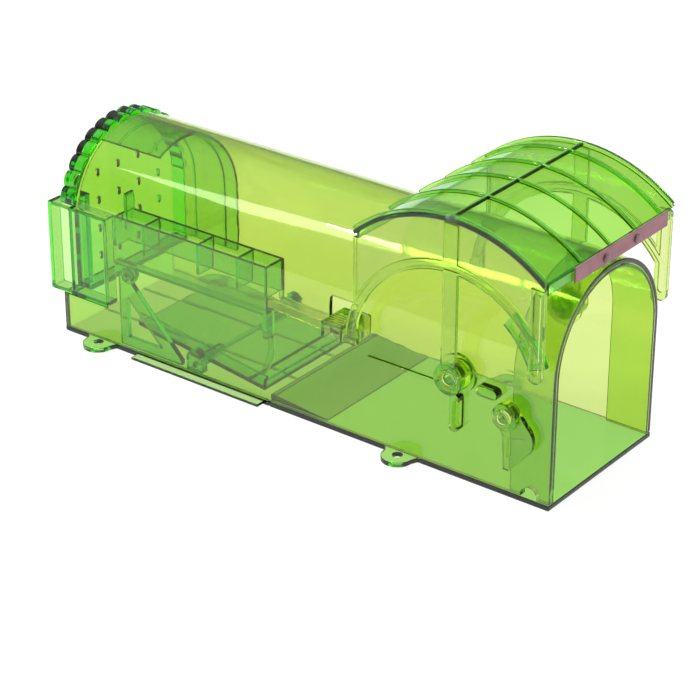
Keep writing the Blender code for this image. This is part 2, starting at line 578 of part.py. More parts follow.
def build_treadle():
    base = 1.9 * MM
    deck = treadle_box(TREADLE_SPAN, (base, base + TREADLE_WALL))
    treadle = put("treadle", pulled_mesh([deck], -TREADLE_HALF, TREADLE_HALF, "side"), GREEN)
    inset = 0.1 * MM
    wall = treadle_box((TREADLE_SPAN[0] + inset, TREADLE_SPAN[1] - inset), (base + inset, base + 6.4 * MM))
    near = (-TREADLE_HALF + inset, -TREADLE_HALF + 1.5 * MM)
    change(treadle, pulled_mesh([wall], *near, "side"), "UNION")
    front = treadle_box((TREADLE_SPAN[1] - 1.6 * MM, TREADLE_SPAN[1] - inset / 2), (base + inset / 2, base + 4.6 * MM))
    change(treadle, pulled_mesh([front], -TREADLE_HALF + inset / 2, TREADLE_HALF - inset, "side"), "UNION")
    band = treadle_box((TREADLE_SPAN[1] - 9 * MM, TREADLE_SPAN[1] - 7.5 * MM), (base + 0.9 * MM, base + 2.6 * MM))
    change(treadle, pulled_mesh([band], -TREADLE_HALF + 1 * MM, TREADLE_HALF - 1 * MM, "side"), "UNION")
    x = world_x(TREADLE_BACK)
    for centre in (-20 * MM, 20 * MM):
        knuckle = (centre - 5 * MM, centre + 5 * MM)
        change(treadle, rod_mesh(KNUCKLE_RADIUS, x, TREADLE_Z, knuckle, 20), "UNION")
    change(treadle, rod_mesh(AXLE_RADIUS + GAP, x, TREADLE_Z, (-TREADLE_HALF - OVER, TREADLE_HALF + OVER), 20),
           "DIFFERENCE")
    put("treadle_axle", rod_mesh(AXLE_RADIUS, x, TREADLE_Z, (-31.4 * MM, 31.4 * MM), 20), GREEN)
    for name, side in (("treadle_bearing_near", -1), ("treadle_bearing_far", 1)):
        bed = TRAY + GAP
        outline = [(x - 4 * MM, bed), (x + 4 * MM, bed), (x + 4 * MM, 7 * MM)]
        outline += arc(x, 7 * MM, 4 * MM, 0, 180, 12)[1:]
        bearing = put(name, pulled_mesh([outline], *across(side, TREADLE_HALF + 0.5 * MM, 32.2 * MM), "side"), GREEN)
        bore = across(side, TREADLE_HALF - OVER, 31.7 * MM)
        change(bearing, rod_mesh(AXLE_RADIUS + GAP, x, TREADLE_Z, bore, 20), "DIFFERENCE")

    # The finger stands on the deck's front near corner and bows forward up to the lever's leg
    foot_x, foot_z = treadle_points([(TREADLE_SPAN[1] - 2.4 * MM, base + 6.7 * MM)])[0]
    top_z = LEG_FOOT - GAP
    rise = top_z - foot_z
    steps = 10
    outer, inner = [], []
    for step in range(steps + 1):
        height = foot_z + rise * step / steps
        middle = foot_x + FINGER_LEAN * step / steps
        bow = FINGER_BOW * math.sin(math.pi * step / steps)
        outer.append((middle + 1.2 * MM + bow, height))
        inner.append((middle - 1.2 * MM + bow * 0.7, height))
    put("treadle_finger", pulled_mesh([outer + inner[::-1]], -27.9 * MM, -26.4 * MM, "side"), GREEN)


def cap_outline(inset, scallop):
    """The cap's outer line: foot, far side, an arch with scallops on it, and a step in round the hatch."""
    half = HALF_WIDTH - inset
    step_y = -(HALF_WIDTH - HATCH_DEPTH - GAP) + inset
    shoulder = HATCH_TOP + 1 * MM + inset
    last = math.pi - math.asin((shoulder - ARCH_Z) / half)
    steps = SCALLOPS * 6
    points = [(step_y, CAP_FOOT + inset), (half, CAP_FOOT + inset)]
    for step in range(steps + 1):
        angle = last * step / steps
        wave = abs(math.sin(SCALLOPS * math.pi * step / steps)) ** 0.6
        radius = half + scallop * wave
        points.append((radius * math.cos(angle), ARCH_Z + radius * math.sin(angle)))
    return points + [(step_y, shoulder)]


def build_cap():
    """A cup whose scalloped wall meets the tunnel's end, with a slotted face and a sleeve that slides inside."""
    ring_x = span(CAP_BACK)
    cap = put("rear_cap", pulled_mesh([cap_outline(0, SCALLOP_HEIGHT)], *ring_x, "section"), GREEN)
    face_front = world_x(CAP_FACE_BACK)
    change(cap, pulled_mesh([cap_outline(CAP_WALL, 0)], face_front, ring_x[1] + OVER, "section"), "DIFFERENCE")
    outside = HALF_WIDTH - WALL - GAP - 0.2 * MM
    sleeve = [(outside, CAP_FOOT + 4.4 * MM)] + arc(0, ARCH_Z, outside, 0, 118, ARCH_STEPS)
    sleeve += arc(0, ARCH_Z, outside - SLEEVE_WALL, 118, 0, ARCH_STEPS) + [(outside - SLEEVE_WALL, CAP_FOOT + 4.4 * MM)]
    sleeve_x = span((SLEEVE_BACK, CAP_FACE_BACK + 0.5 * MM))
    change(cap, pulled_mesh([sleeve], *sleeve_x, "section"), "UNION")
    width, height = SLOT_SIZE
    for row in range(4):
        for column in range(-2, 3):
            place = (column * SLOT_PITCH - 1.2 * MM, 27 * MM + row * SLOT_PITCH)
            near = -place[0] > HALF_WIDTH - HATCH_DEPTH - 5 * MM and place[1] < HATCH_TOP + 5 * MM
            if near or math.hypot(place[0], max(0, place[1] - ARCH_Z)) > HALF_WIDTH - 5 * MM:
                continue
            slot = rounded_bar(place, height, width, True)
            change(cap, pulled_mesh([slot], ring_x[0] - OVER, face_front + OVER, "section"), "DIFFERENCE")


def build_hatch():
    """A thick hollow panel let into the near wall, open on its inner side."""
    outer_y = (-HALF_WIDTH, -HALF_WIDTH + HATCH_DEPTH)
    hatch_x = span(HATCH_BACK)
    hatch_z = (CAP_FOOT, HATCH_TOP)
    hatch = put("side_hatch", block_mesh(hatch_x, outer_y, hatch_z), GREEN)
    wall = 1.4 * MM
    change(hatch, block_mesh((hatch_x[0] + wall, hatch_x[1] - wall), (outer_y[0] + wall, outer_y[1] + OVER),
                             (hatch_z[0] + wall, hatch_z[1] - wall)), "DIFFERENCE")


def add_axis(name, location, pieces):
    axis = bpy.data.objects.new(name, None)
    axis.empty_display_size = 0.01
    PARTS.objects.link(axis)
    axis.location = location
    for piece in pieces:
        item = bpy.data.objects[piece]
        item.parent = axis
        item.matrix_parent_inverse = Matrix.Translation(location).inverted()


def main():
    build_tunnel()
    build_floors()
    build_door()
    build_pawl()
    build_lever()
    build_treadle()
    build_cap()
    build_hatch()
    add_axis("door_axis", (world_x(DOOR_BACK), 0, DOOR_Z),
             ["visor_roof", "visor_cheek_near", "visor_cheek_far", "lock_striker", "door_weight_strip",
              "strip_rivet_near", "strip_rivet_far"])
    add_axis("pawl_axis", (world_x(PAWL_BACK), PAWL_Y[0], PAWL_Z), ["lock_pawl"])
    add_axis("lever_axis", (world_x(LEVER_BACK), CHANNEL_Y[0], LEVER_Z),
             ["trip_lever", "lever_rail_near", "lever_rail_far", "catch_head"])
    add_axis("treadle_axis", (world_x(TREADLE_BACK), 0, TREADLE_Z), ["treadle", "treadle_finger"])
    add_axis("cap_axis", (world_x(CAP_BACK[0]), 0, ARCH_Z), ["rear_cap"])


clear_scene()
PARTS = bpy.data.collections.new("live_catch_trap")
CUTTERS = bpy.data.collections.new("cutters")
bpy.context.scene.collection.children.link(PARTS)
bpy.context.scene.collection.children.link(CUTTERS)
GREEN = plastic("clear_green_plastic", (0.33, 0.66, 0.08), 0.06, 0.9)
FROSTED = plastic("frosted_green_plastic", (0.45, 0.72, 0.16), 0.45, 0.6)
STEEL = metal("coated_steel", (0.38, 0.16, 0.19), 0.35)
main()
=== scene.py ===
"""Live catch trap: every moulding shaped finely around its frame and dressed in clear green plastic.

+X points out of the mouth, +Y to the far side and +Z up. Lengths are metres, angles degrees.
"""

import sys
import functools
import json
import logging
import math
from dataclasses import dataclass, field
from enum import Enum
from typing import NamedTuple

import bmesh
import bpy
import numpy as np
from mathutils import Matrix, Vector

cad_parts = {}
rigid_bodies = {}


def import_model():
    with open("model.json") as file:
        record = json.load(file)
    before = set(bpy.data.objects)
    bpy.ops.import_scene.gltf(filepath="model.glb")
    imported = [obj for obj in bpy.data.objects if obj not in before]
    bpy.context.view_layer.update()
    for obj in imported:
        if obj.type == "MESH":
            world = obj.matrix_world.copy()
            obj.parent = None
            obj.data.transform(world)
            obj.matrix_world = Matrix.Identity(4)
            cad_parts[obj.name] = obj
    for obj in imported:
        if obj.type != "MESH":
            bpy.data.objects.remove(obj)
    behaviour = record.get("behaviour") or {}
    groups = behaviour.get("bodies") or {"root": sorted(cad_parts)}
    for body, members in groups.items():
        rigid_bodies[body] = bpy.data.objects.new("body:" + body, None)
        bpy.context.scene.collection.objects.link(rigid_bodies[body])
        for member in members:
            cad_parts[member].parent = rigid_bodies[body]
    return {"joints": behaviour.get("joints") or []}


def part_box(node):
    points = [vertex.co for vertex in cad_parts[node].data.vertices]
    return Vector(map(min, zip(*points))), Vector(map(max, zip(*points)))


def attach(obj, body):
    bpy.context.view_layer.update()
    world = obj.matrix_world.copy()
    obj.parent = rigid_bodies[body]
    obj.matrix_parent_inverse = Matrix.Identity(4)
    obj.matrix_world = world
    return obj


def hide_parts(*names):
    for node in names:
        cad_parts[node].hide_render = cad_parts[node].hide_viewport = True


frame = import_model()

LOG = logging.getLogger("live_catch_trap")
MM = 0.001
EDGE = 0.25 * MM
CORNER = 2 * EDGE
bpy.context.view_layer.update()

# Places read from the frame
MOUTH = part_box("tunnel_shell")[1].x
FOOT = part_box("tunnel_shell")[0].z
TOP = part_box("tunnel_shell")[1].z
HALF = 35 * MM
ARCH_Z = TOP - HALF
PIVOTS = {joint["name"]: Vector(joint["pos_m"]) for joint in frame["joints"] if "pos_m" in joint}
DOOR = PIVOTS["door_swing"]


# ---------------------------------------------------------------- shapes


class Shape(NamedTuple):
    """A closed surface: its points, one row each, and its faces as lists of row numbers."""

    points: np.ndarray
    faces: list[list[int]]


class Plane(Enum):
    """The two axes that an outline is drawn in, then the axis that it is pulled along."""

    SIDE = (0, 2, 1)
    SECTION = (1, 2, 0)
    PLAN = (0, 1, 2)


def arc(centre: tuple[float, float], radius: float, start: float, end: float, steps: int) -> np.ndarray:
    """Points on a circle: the centre plus radius times (cos a, sin a), for even steps of a.

    Args:
        centre: the middle of the circle.
        radius: its radius.
        start: the first angle, in degrees.
        end: the last angle.
        steps: how many equal steps lie between them.

    Returns:
        The points, one row each.
    """
    angles = np.radians(np.linspace(start, end, steps + 1))
    return np.column_stack([centre[0] + radius * np.cos(angles), centre[1] + radius * np.sin(angles)])


def circle(centre: tuple[float, float], radius: float, steps: int = 48) -> np.ndarray:
    """A whole circle without its repeated last point."""
    return arc(centre, radius, 0, 360, steps)[:-1]


def sector(centre: tuple[float, float], inner: float, outer: float, start: float, end: float,
           steps: int) -> np.ndarray:
    """The outline of a bent bar: out along one arc and back along a smaller one about the same centre."""
    return np.vstack([arc(centre, outer, start, end, steps), arc(centre, inner, end, start, steps)])


def slot_outline(centre: tuple[float, float], length: float, width: float, upright: bool) -> np.ndarray:
    """A bar with half-round ends: two half circles of half the width, apart by the length less the width.

    Args:
        centre: the middle of the bar.
        length: its whole length.
        width: its width.
        upright: whether the length runs along the second axis.

    Returns:
        The outline.
    """
    reach = (length - width) / 2
    shift = np.array([0, reach]) if upright else np.array([reach, 0])
    turn = 0 if upright else -90
    first = arc(centre, width / 2, turn, turn + 180, 12) + shift
    return np.vstack([first, arc(centre, width / 2, turn + 180, turn + 360, 12) - shift])


def softened(outline: np.ndarray, radius: float = CORNER, steps: int = 3) -> np.ndarray:
    """Rounds each corner P: (1-t)^2 A + 2t(1-t) P + t^2 B, with A and B on its two sides.

    Args:
        outline: the corners.
        radius: how far A and B lie from P at most, or 0 to leave the corners.
        steps: how many straight pieces each bend has.

    Returns:
        The outline with a bend in place of each corner.
    """
    corner = np.asarray(outline, float)
    if radius <= 0:
        return corner
    sides = [np.roll(corner, turn, 0) - corner for turn in (1, -1)]
    lengths = [np.linalg.norm(side, axis=1, keepdims=True) for side in sides]
    ends = [corner + side / size * np.minimum(radius, 0.45 * size) for side, size in zip(sides, lengths)]
    t = np.linspace(0, 1, steps + 1)[None, :, None]
    curve = (1 - t) ** 2 * ends[0][:, None] + 2 * t * (1 - t) * corner[:, None] + t**2 * ends[1][:, None]
    return curve.reshape(-1, 2)


def box_outline(across: tuple[float, float], up: tuple[float, float], radius: float = CORNER) -> np.ndarray:
    """A rectangle with softened corners."""
    corners = [(across[0], up[0]), (across[1], up[0]), (across[1], up[1]), (across[0], up[1])]
    return softened(np.array(corners), radius)


def inset(outline: np.ndarray, amount: float) -> np.ndarray:
    """Moves each point along the bisector of its sides by amount over the cosine of half the turn.

    Args:
        outline: points in anticlockwise order, none of them twice.
        amount: how far inwards the sides move.

    Returns:
        The smaller outline, with as many points.
    """
    side = np.roll(outline, -1, 0) - outline
    normal = np.column_stack([-side[:, 1], side[:, 0]]) / np.linalg.norm(side, axis=1, keepdims=True)
    bisector = normal + np.roll(normal, 1, 0)
    bisector /= np.maximum(np.linalg.norm(bisector, axis=1, keepdims=True), 1e-6)
    cosine = (bisector * normal).sum(1, keepdims=True)
    return outline + bisector * amount / np.maximum(cosine, 0.5)


def pulled(outline: np.ndarray, low: float, high: float, plane: Plane, edge: float = EDGE) -> Shape:
    """Pulls an outline from low to high with rounded rims.

    Each ring of an end lies edge (1 - cos a) in from that end and edge (1 - sin a) inside the outline,
    for a from 0 to 90.

    Args:
        outline: (n, 2) points in the plane's first two axes.
        low: where the pull starts on the third axis.
        high: where it ends.
        plane: how the outline lies.
        edge: radius of the rims, or 0 for sharp ones.

    Returns:
        The closed shape.
    """
    flat = np.asarray(outline, float)
    flat = flat[np.linalg.norm(flat - np.roll(flat, 1, 0), axis=1) > 1e-7]
    area = (flat[:, 0] * np.roll(flat[:, 1], -1) - flat[:, 1] * np.roll(flat[:, 0], -1)).sum()
    flat = flat if area > 0 else flat[::-1]
    edge = min(edge, 0.4 * (high - low))
    angles = np.radians([0, 35, 65, 90]) if edge > 0 else np.array([math.pi / 2])
    rings = [(low + edge * (1 - math.cos(a)), edge * (1 - math.sin(a))) for a in angles]
    rings += [(high - edge * (1 - math.cos(a)), edge * (1 - math.sin(a))) for a in angles[::-1]]
    count = len(flat)
    points = np.zeros((len(rings), count, 3))
    for ring, (place, inward) in enumerate(rings):
        points[ring, :, list(plane.value[:2])] = inset(flat, inward).T
        points[ring, :, plane.value[2]] = place
    return Shape(points.reshape(-1, 3), grid_faces(len(rings), count))


def grid_faces(rings: int, count: int) -> list[list[int]]:
    """Four-sided faces between neighbouring rings, and one flat face over each open end.

    Args:
        rings: how many rings there are.
        count: how many points each ring has.

    Returns:
        The faces as row numbers.
    """
    start = np.arange(rings - 1)[:, None] * count
    step = np.arange(count)[None, :]
    following = (step + 1) % count
    quads = np.stack([start + step, start + following, start + count + following, start + count + step], -1)
    last = (rings - 1) * count
    caps = [list(range(count))[::-1], list(range(last, last + count))]
    return quads.reshape(-1, 4).tolist() + caps


def block(x: tuple[float, float], y: tuple[float, float], z: tuple[float, float],
          edge: float = EDGE) -> Shape:
    """A box with rounded edges."""
    return pulled(box_outline(x, z, 2 * edge), y[0], y[1], Plane.SIDE, edge)


def rod(radius: float, centre: tuple[float, float], y: tuple[float, float], edge: float = EDGE) -> Shape:
    """A round bar along Y."""
    return pulled(circle(centre, radius), min(y), max(y), Plane.SIDE, edge)


def turned(profile: list[tuple[float, float]], centre: Vector, axis: Vector, steps: int = 56) -> Shape:
    """Turns a profile about an axis: centre + d axis + r (cos a u + sin a v), u and v square to it.

    Args:
        profile: pairs of radius r and distance d along the axis.
        centre: where the distance is 0.
        axis: the direction of the axis.
        steps: how many points go round.

    Returns:
        The closed shape.
    """
    axis = axis.normalized()
    first = axis.orthogonal().normalized()
    u, v, w = np.array(first), np.array(axis.cross(first)), np.array(axis)
    angles = np.linspace(0, 2 * np.pi, steps, endpoint=False)[None, :, None]
    radius, along = np.array(profile).T[:, :, None, None]
    points = np.array(centre) + along * w + radius * (np.cos(angles) * u + np.sin(angles) * v)
    return Shape(points.reshape(-1, 3), grid_faces(len(profile), steps))


def rounded_profile(steps: list[tuple[float, float]], radius: float = EDGE) -> list[tuple[float, float]]:
    """Softens the inner corners of a turned profile.

    Args:
        steps: the profile as (radius, distance) pairs.
        radius: how far each bend reaches from its corner.

    Returns:
        The softened profile, with its two end points kept.
    """
    line = np.array(steps)
    soft = softened(line, radius).reshape(len(line), -1, 2)[1:-1].reshape(-1, 2)
    return [tuple(line[0]), *map(tuple, soft.tolist()), tuple(line[-1])]


def across(side: int, inner: float, outer: float) -> tuple[float, float]:
    """A stretch of Y on the near (-1) or far (1) side, lowest first."""
    return tuple(sorted((side * inner, side * outer)))


def behind(distance: float) -> float:
    """World X at a distance behind the mouth."""
    return MOUTH - distance


def span(near: float, far: float) -> tuple[float, float]:
    """World X limits of a stretch given by two distances behind the mouth."""
    return (behind(far), behind(near))


# ---------------------------------------------------------------- finishes


def linear(code: str) -> tuple[float, float, float, float]:
    """Turns an sRGB hex colour to linear.

    Args:
        code: six hex digits.

    Returns:
        Linear red, green and blue, with full alpha.
    """
    parts = np.array([int(code[i : i + 2], 16) for i in (0, 2, 4)]) / 255
    values = np.where(parts <= 0.04045, parts / 12.92, ((parts + 0.055) / 1.055) ** 2.4)
    return (*values.tolist(), 1.0)


def add(tree: bpy.types.NodeTree, kind: str, values: dict | None = None, links: dict | None = None,
        **settings: object) -> bpy.types.Node:
    """Adds a node to a material.

    Args:
        tree: the node tree.
        kind: the node's type name without its ShaderNode prefix.
        values: input name or number to value.
        links: input name or number to the socket that feeds it.
        settings: the node's own settings.

    Returns:
        The new node.
    """
    node = tree.nodes.new("ShaderNode" + kind)
    for key, value in settings.items():
        setattr(node, key, value)
    for key, value in (values or {}).items():
        node.inputs[key].default_value = value
    for key, source in (links or {}).items():
        tree.links.new(source, node.inputs[key])
    return node


def new_material(name: str) -> tuple[bpy.types.Material, bpy.types.NodeTree]:
    """Makes an empty node material.

    Args:
        name: its name.

    Returns:
        The material and its node tree.
    """
    material = bpy.data.materials.new(name)
    material.use_nodes = True
    material.node_tree.nodes.clear()
    return material, material.node_tree


def ramp_span(tree: bpy.types.NodeTree, source: bpy.types.NodeSocket, low: float,
              high: float) -> bpy.types.NodeSocket:
    """Spreads a 0.3 to 0.7 pattern between two values."""
    node = add(tree, "MapRange", {"From Min": 0.3, "From Max": 0.7, "To Min": low, "To Max": high},
               {"Value": source})
    return node.outputs["Result"]


@dataclass(frozen=True)
class ClearPlastic:
    """Injection-moulded clear styrene: bright, hard reflections, deep green where light runs along a wall.

    The wall tint is what the depth of one wall leaves of white light, so a doubled wall is darker and
    an edge is darker still. The surface colour is taken once for each wall, however thick it is.
    """

    name: str
    wall_tint: str
    wall: float = 1.8 * MM
    polish: tuple[float, float] = (0.0, 0.05)
    ripple: float = 0.03 * MM
    ripple_size: float = 9 * MM
    grain: float = 0.0
    grain_size: float = 0.7 * MM
    surface: str = "ECECD9"

    @functools.cache
    def material(self) -> bpy.types.Material:
        """Makes the material once.

        Returns:
            The material.
        """
        material, tree = new_material(self.name)
        tint = np.clip(linear(self.wall_tint)[:3], 0.01, 0.999)
        place = add(tree, "TexCoord").outputs["Object"]
        flow = add(tree, "TexNoise", {"Scale": 1 / self.ripple_size, "Detail": 2, "Roughness": 0.45},
                   {"Vector": place})
        haze = add(tree, "TexNoise", {"Scale": 1 / (3 * MM), "Detail": 5}, {"Vector": place})
        bump = add(tree, "Bump", {"Strength": 1, "Distance": self.ripple}, {"Height": flow.outputs["Fac"]})
        if self.grain > 0:
            pits = add(tree, "TexNoise", {"Scale": 1 / self.grain_size, "Detail": 3}, {"Vector": place})
            bump = add(tree, "Bump", {"Strength": 1, "Distance": self.grain},
                       {"Height": pits.outputs["Fac"], "Normal": bump.outputs["Normal"]})
        shader = add(tree, "BsdfPrincipled",
                     {"Base Color": linear(self.surface), "Transmission Weight": 1, "IOR": 1.57},
                     {"Roughness": ramp_span(tree, haze.outputs["Fac"], *self.polish),
                      "Normal": bump.outputs["Normal"]})
        taken = -np.log(tint) / self.wall
        colour = (*(1 - taken / taken.max()).tolist(), 1)
        depth = add(tree, "VolumeAbsorption", {"Color": colour, "Density": float(taken.max())})
        add(tree, "OutputMaterial", None, {"Surface": shader.outputs[0], "Volume": depth.outputs[0]})
        return material


@dataclass(frozen=True)
class CoatedMetal:
    """Thin steel under a satin coat: soft, slightly streaked reflections along its length."""

    name: str
    colour: str
    metallic: float
    roughness: tuple[float, float]

    @functools.cache
    def material(self) -> bpy.types.Material:
        """Makes the material once.

        Returns:
            The material.
        """
        material, tree = new_material(self.name)
        place = add(tree, "TexCoord").outputs["Object"]
        drawn = add(tree, "Mapping", {"Scale": (1, 0.06, 1)}, {"Vector": place})
        streak = add(tree, "TexNoise", {"Scale": 1 / (0.5 * MM), "Detail": 4}, {"Vector": drawn.outputs[0]})
        blotch = add(tree, "TexNoise", {"Scale": 1 / (6 * MM), "Detail": 3}, {"Vector": place})
        deep = tuple(0.78 * part for part in linear(self.colour)[:3]) + (1,)
        tint = add(tree, "Mix", {"A": deep, "B": linear(self.colour)}, None, data_type="RGBA")
        tree.links.new(ramp_span(tree, blotch.outputs["Fac"], 0, 1), tint.inputs[0])
        bump = add(tree, "Bump", {"Strength": 0.4, "Distance": 0.02 * MM}, {"Height": streak.outputs["Fac"]})
        shader = add(tree, "BsdfPrincipled", {"Metallic": self.metallic},
                     {"Roughness": ramp_span(tree, streak.outputs["Fac"], *self.roughness),
                      "Normal": bump.outputs["Normal"]})
        tree.links.new(tint.outputs["Result"] if "Result" in tint.outputs else tint.outputs[2],
                       shader.inputs["Base Color"])
        add(tree, "OutputMaterial", None, {"Surface": shader.outputs[0]})
        return material


# Clear styrene from a polished mould: see-through yellow-green with sharp reflections that waver slightly
CLEAR = ClearPlastic("clear_green_styrene", "ECFCB2")
# The same plastic, taken deeper where the roof and the cap look greener than the tunnel
DEEP = ClearPlastic("clear_green_styrene_door_and_cap", "C2FB7F", 1.5 * MM, surface="E7E7D9")
# The same plastic in the works: thin walls one behind another, which add up to a cooler green
INNER = ClearPlastic("clear_green_styrene_works", "C4FBA5")
# The same plastic as thick flat floors: an even mid green with hardly any wave in it, its tint partly the
# floors' own green and partly painted light, set to make up for the shade under the plates
PLATE_SHADE_OFFSET = ClearPlastic("clear_green_styrene_floor_shade_offset", "C6FD9E", 2.2 * MM)
# The lining's moulded face is a little rough, which softens what is seen through it
FROSTED = ClearPlastic("frosted_green_lining", "E0FAAA", 1.1 * MM, (0.03, 0.08), ripple=0.005 * MM,
                       grain=0.01 * MM)
# The rails are tinted nearly colourless and a touch hazy as a painted highlight, so they read as the bright pale
# bars that reflections make of them
RAIL_PAINTED_HIGHLIGHT = ClearPlastic("pale_styrene_painted_highlight", "FCFDE4", 1.6 * MM, (0.1, 0.2))
# Coated steel strip: a satin mauve with faint lengthwise streaks and slow blotches
MAUVE = CoatedMetal("mauve_coated_steel", "A8707A", 0.25, (0.34, 0.5))
# Tumbled steel rivets: bare metal, dulled to broad soft highlights
RIVET = CoatedMetal("tumbled_steel", "8A6C70", 0.9, (0.25, 0.4))


# ---------------------------------------------------------------- making pieces


def as_object(name: str, shape: Shape, group: bpy.types.Collection) -> bpy.types.Object:
    """Makes a mesh object of a shape, with its faces turned outwards.

    Args:
        name: the name of the mesh and the object.
        shape: the closed shape.
        group: the collection it goes in.

    Returns:
        The object.
    """
    mesh = bpy.data.meshes.new(name)
    mesh.from_pydata(shape.points.tolist(), [], shape.faces)
    tidy(mesh, 0)
    item = bpy.data.objects.new(name, mesh)
    group.objects.link(item)
    return item


def tidy(mesh: bpy.types.Mesh, gap: float) -> None:
    """Merges points that are close together and turns the faces outwards.

    Args:
        mesh: the mesh to change.
        gap: points closer than this are merged, or 0 for none.
    """
    work = bmesh.new()
    work.from_mesh(mesh)
    if gap > 0:
        bmesh.ops.remove_doubles(work, verts=work.verts, dist=gap)
        bmesh.ops.dissolve_degenerate(work, edges=work.edges, dist=gap)
    bmesh.ops.recalc_face_normals(work, faces=work.faces)
    work.to_mesh(mesh)
    work.free()


@dataclass
class Moulding:
    """One piece in the making: a body, the shapes joined to it, and the shapes cut from it."""

    name: str
    base: Shape
    joined: list[Shape] = field(default_factory=list)
    cut: list[Shape] = field(default_factory=list)

    def shaped(self) -> bpy.types.Mesh:
        """Joins everything to the base and then cuts.

        Returns:
            The finished mesh.
        """
        scene = bpy.context.scene
        piece = as_object(self.name + "_base", self.base, scene.collection)
        groups = []
        for operation, shapes in (("UNION", self.joined), ("DIFFERENCE", self.cut)):
            if not shapes:
                continue
            group = bpy.data.collections.new(self.name + "_" + operation.lower())
            scene.collection.children.link(group)
            for number, shape in enumerate(shapes):
                as_object(f"{group.name}_{number}", shape, group)
            step = piece.modifiers.new(operation, "BOOLEAN")
            step.operation = operation
            step.operand_type = "COLLECTION"
            step.collection = group
            step.solver = "EXACT"
            groups.append(group)
        graph = bpy.context.evaluated_depsgraph_get()
        mesh = bpy.data.meshes.new_from_object(piece.evaluated_get(graph))
        for group in groups:
            for item in list(group.objects):
                bpy.data.objects.remove(item)
            bpy.data.collections.remove(group)
        bpy.data.objects.remove(piece)
        tidy(mesh, 0.002 * MM)
        return mesh

    def merged(self, name: str, joined: list[Shape], cut: list[Shape]) -> "Moulding":
        """Starts a new piece from this one as shaped so far, so that later joins come after its cuts.

        Args:
            name: the new piece.
            joined: the shapes joined to it.
            cut: the shapes cut from it.

        Returns:
            The new piece.
        """
        mesh = self.shaped()
        points = np.empty(len(mesh.vertices) * 3)
        mesh.vertices.foreach_get("co", points)
        base = Shape(points.reshape(-1, 3), [list(face.vertices) for face in mesh.polygons])
        return Moulding(name, base, joined, cut)

    def make(self, finish: ClearPlastic | CoatedMetal, body: str, *nodes: str,
             slot: str = "clear_green_plastic") -> bpy.types.Object:
        """Finishes the piece.

        Args:
            finish: what it is made of.
            body: the body it moves with.
            nodes: the CAD nodes it stands for.
            slot: the record's material slot (not used).

        Returns:
            The piece's object.
        """
        mesh = self.shaped()
        mesh.name = self.name
        mesh.materials.clear()
        mesh.materials.append(finish.material())
        mesh.shade_smooth()
        mesh.set_sharp_from_angle(angle=math.radians(38))
        piece = bpy.data.objects.new(self.name, mesh)
        bpy.context.scene.collection.objects.link(piece)
        flat = piece.modifiers.new("weighted", "WEIGHTED_NORMAL")
        flat.keep_sharp = True
        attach(piece, body)
        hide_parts(*nodes)
        LOG.info("%s: %d faces on %s", self.name, len(mesh.polygons), body)
        return piece


# ---------------------------------------------------------------- tunnel and floors


def arch_outline(half: float, wall: float, foot: float, steps: int = 96) -> np.ndarray:
    """An upside-down U: straight sides up to the centre of the arch, then a half circle, out and back inside.

    Args:
        half: half of its outer width.
        wall: its thickness.
        foot: the height of its feet.
        steps: how many straight pieces each half circle has.

    Returns:
        The outline.
    """
    outer = arc((0, ARCH_Z), half, 0, 180, steps)
    inner = arc((0, ARCH_Z), half - wall, 180, 0, steps)
    far_foot = [(-half, foot), (-half + wall, foot)]
    return np.vstack([[(half, foot)], outer, far_foot, inner, [(half - wall, foot)]])


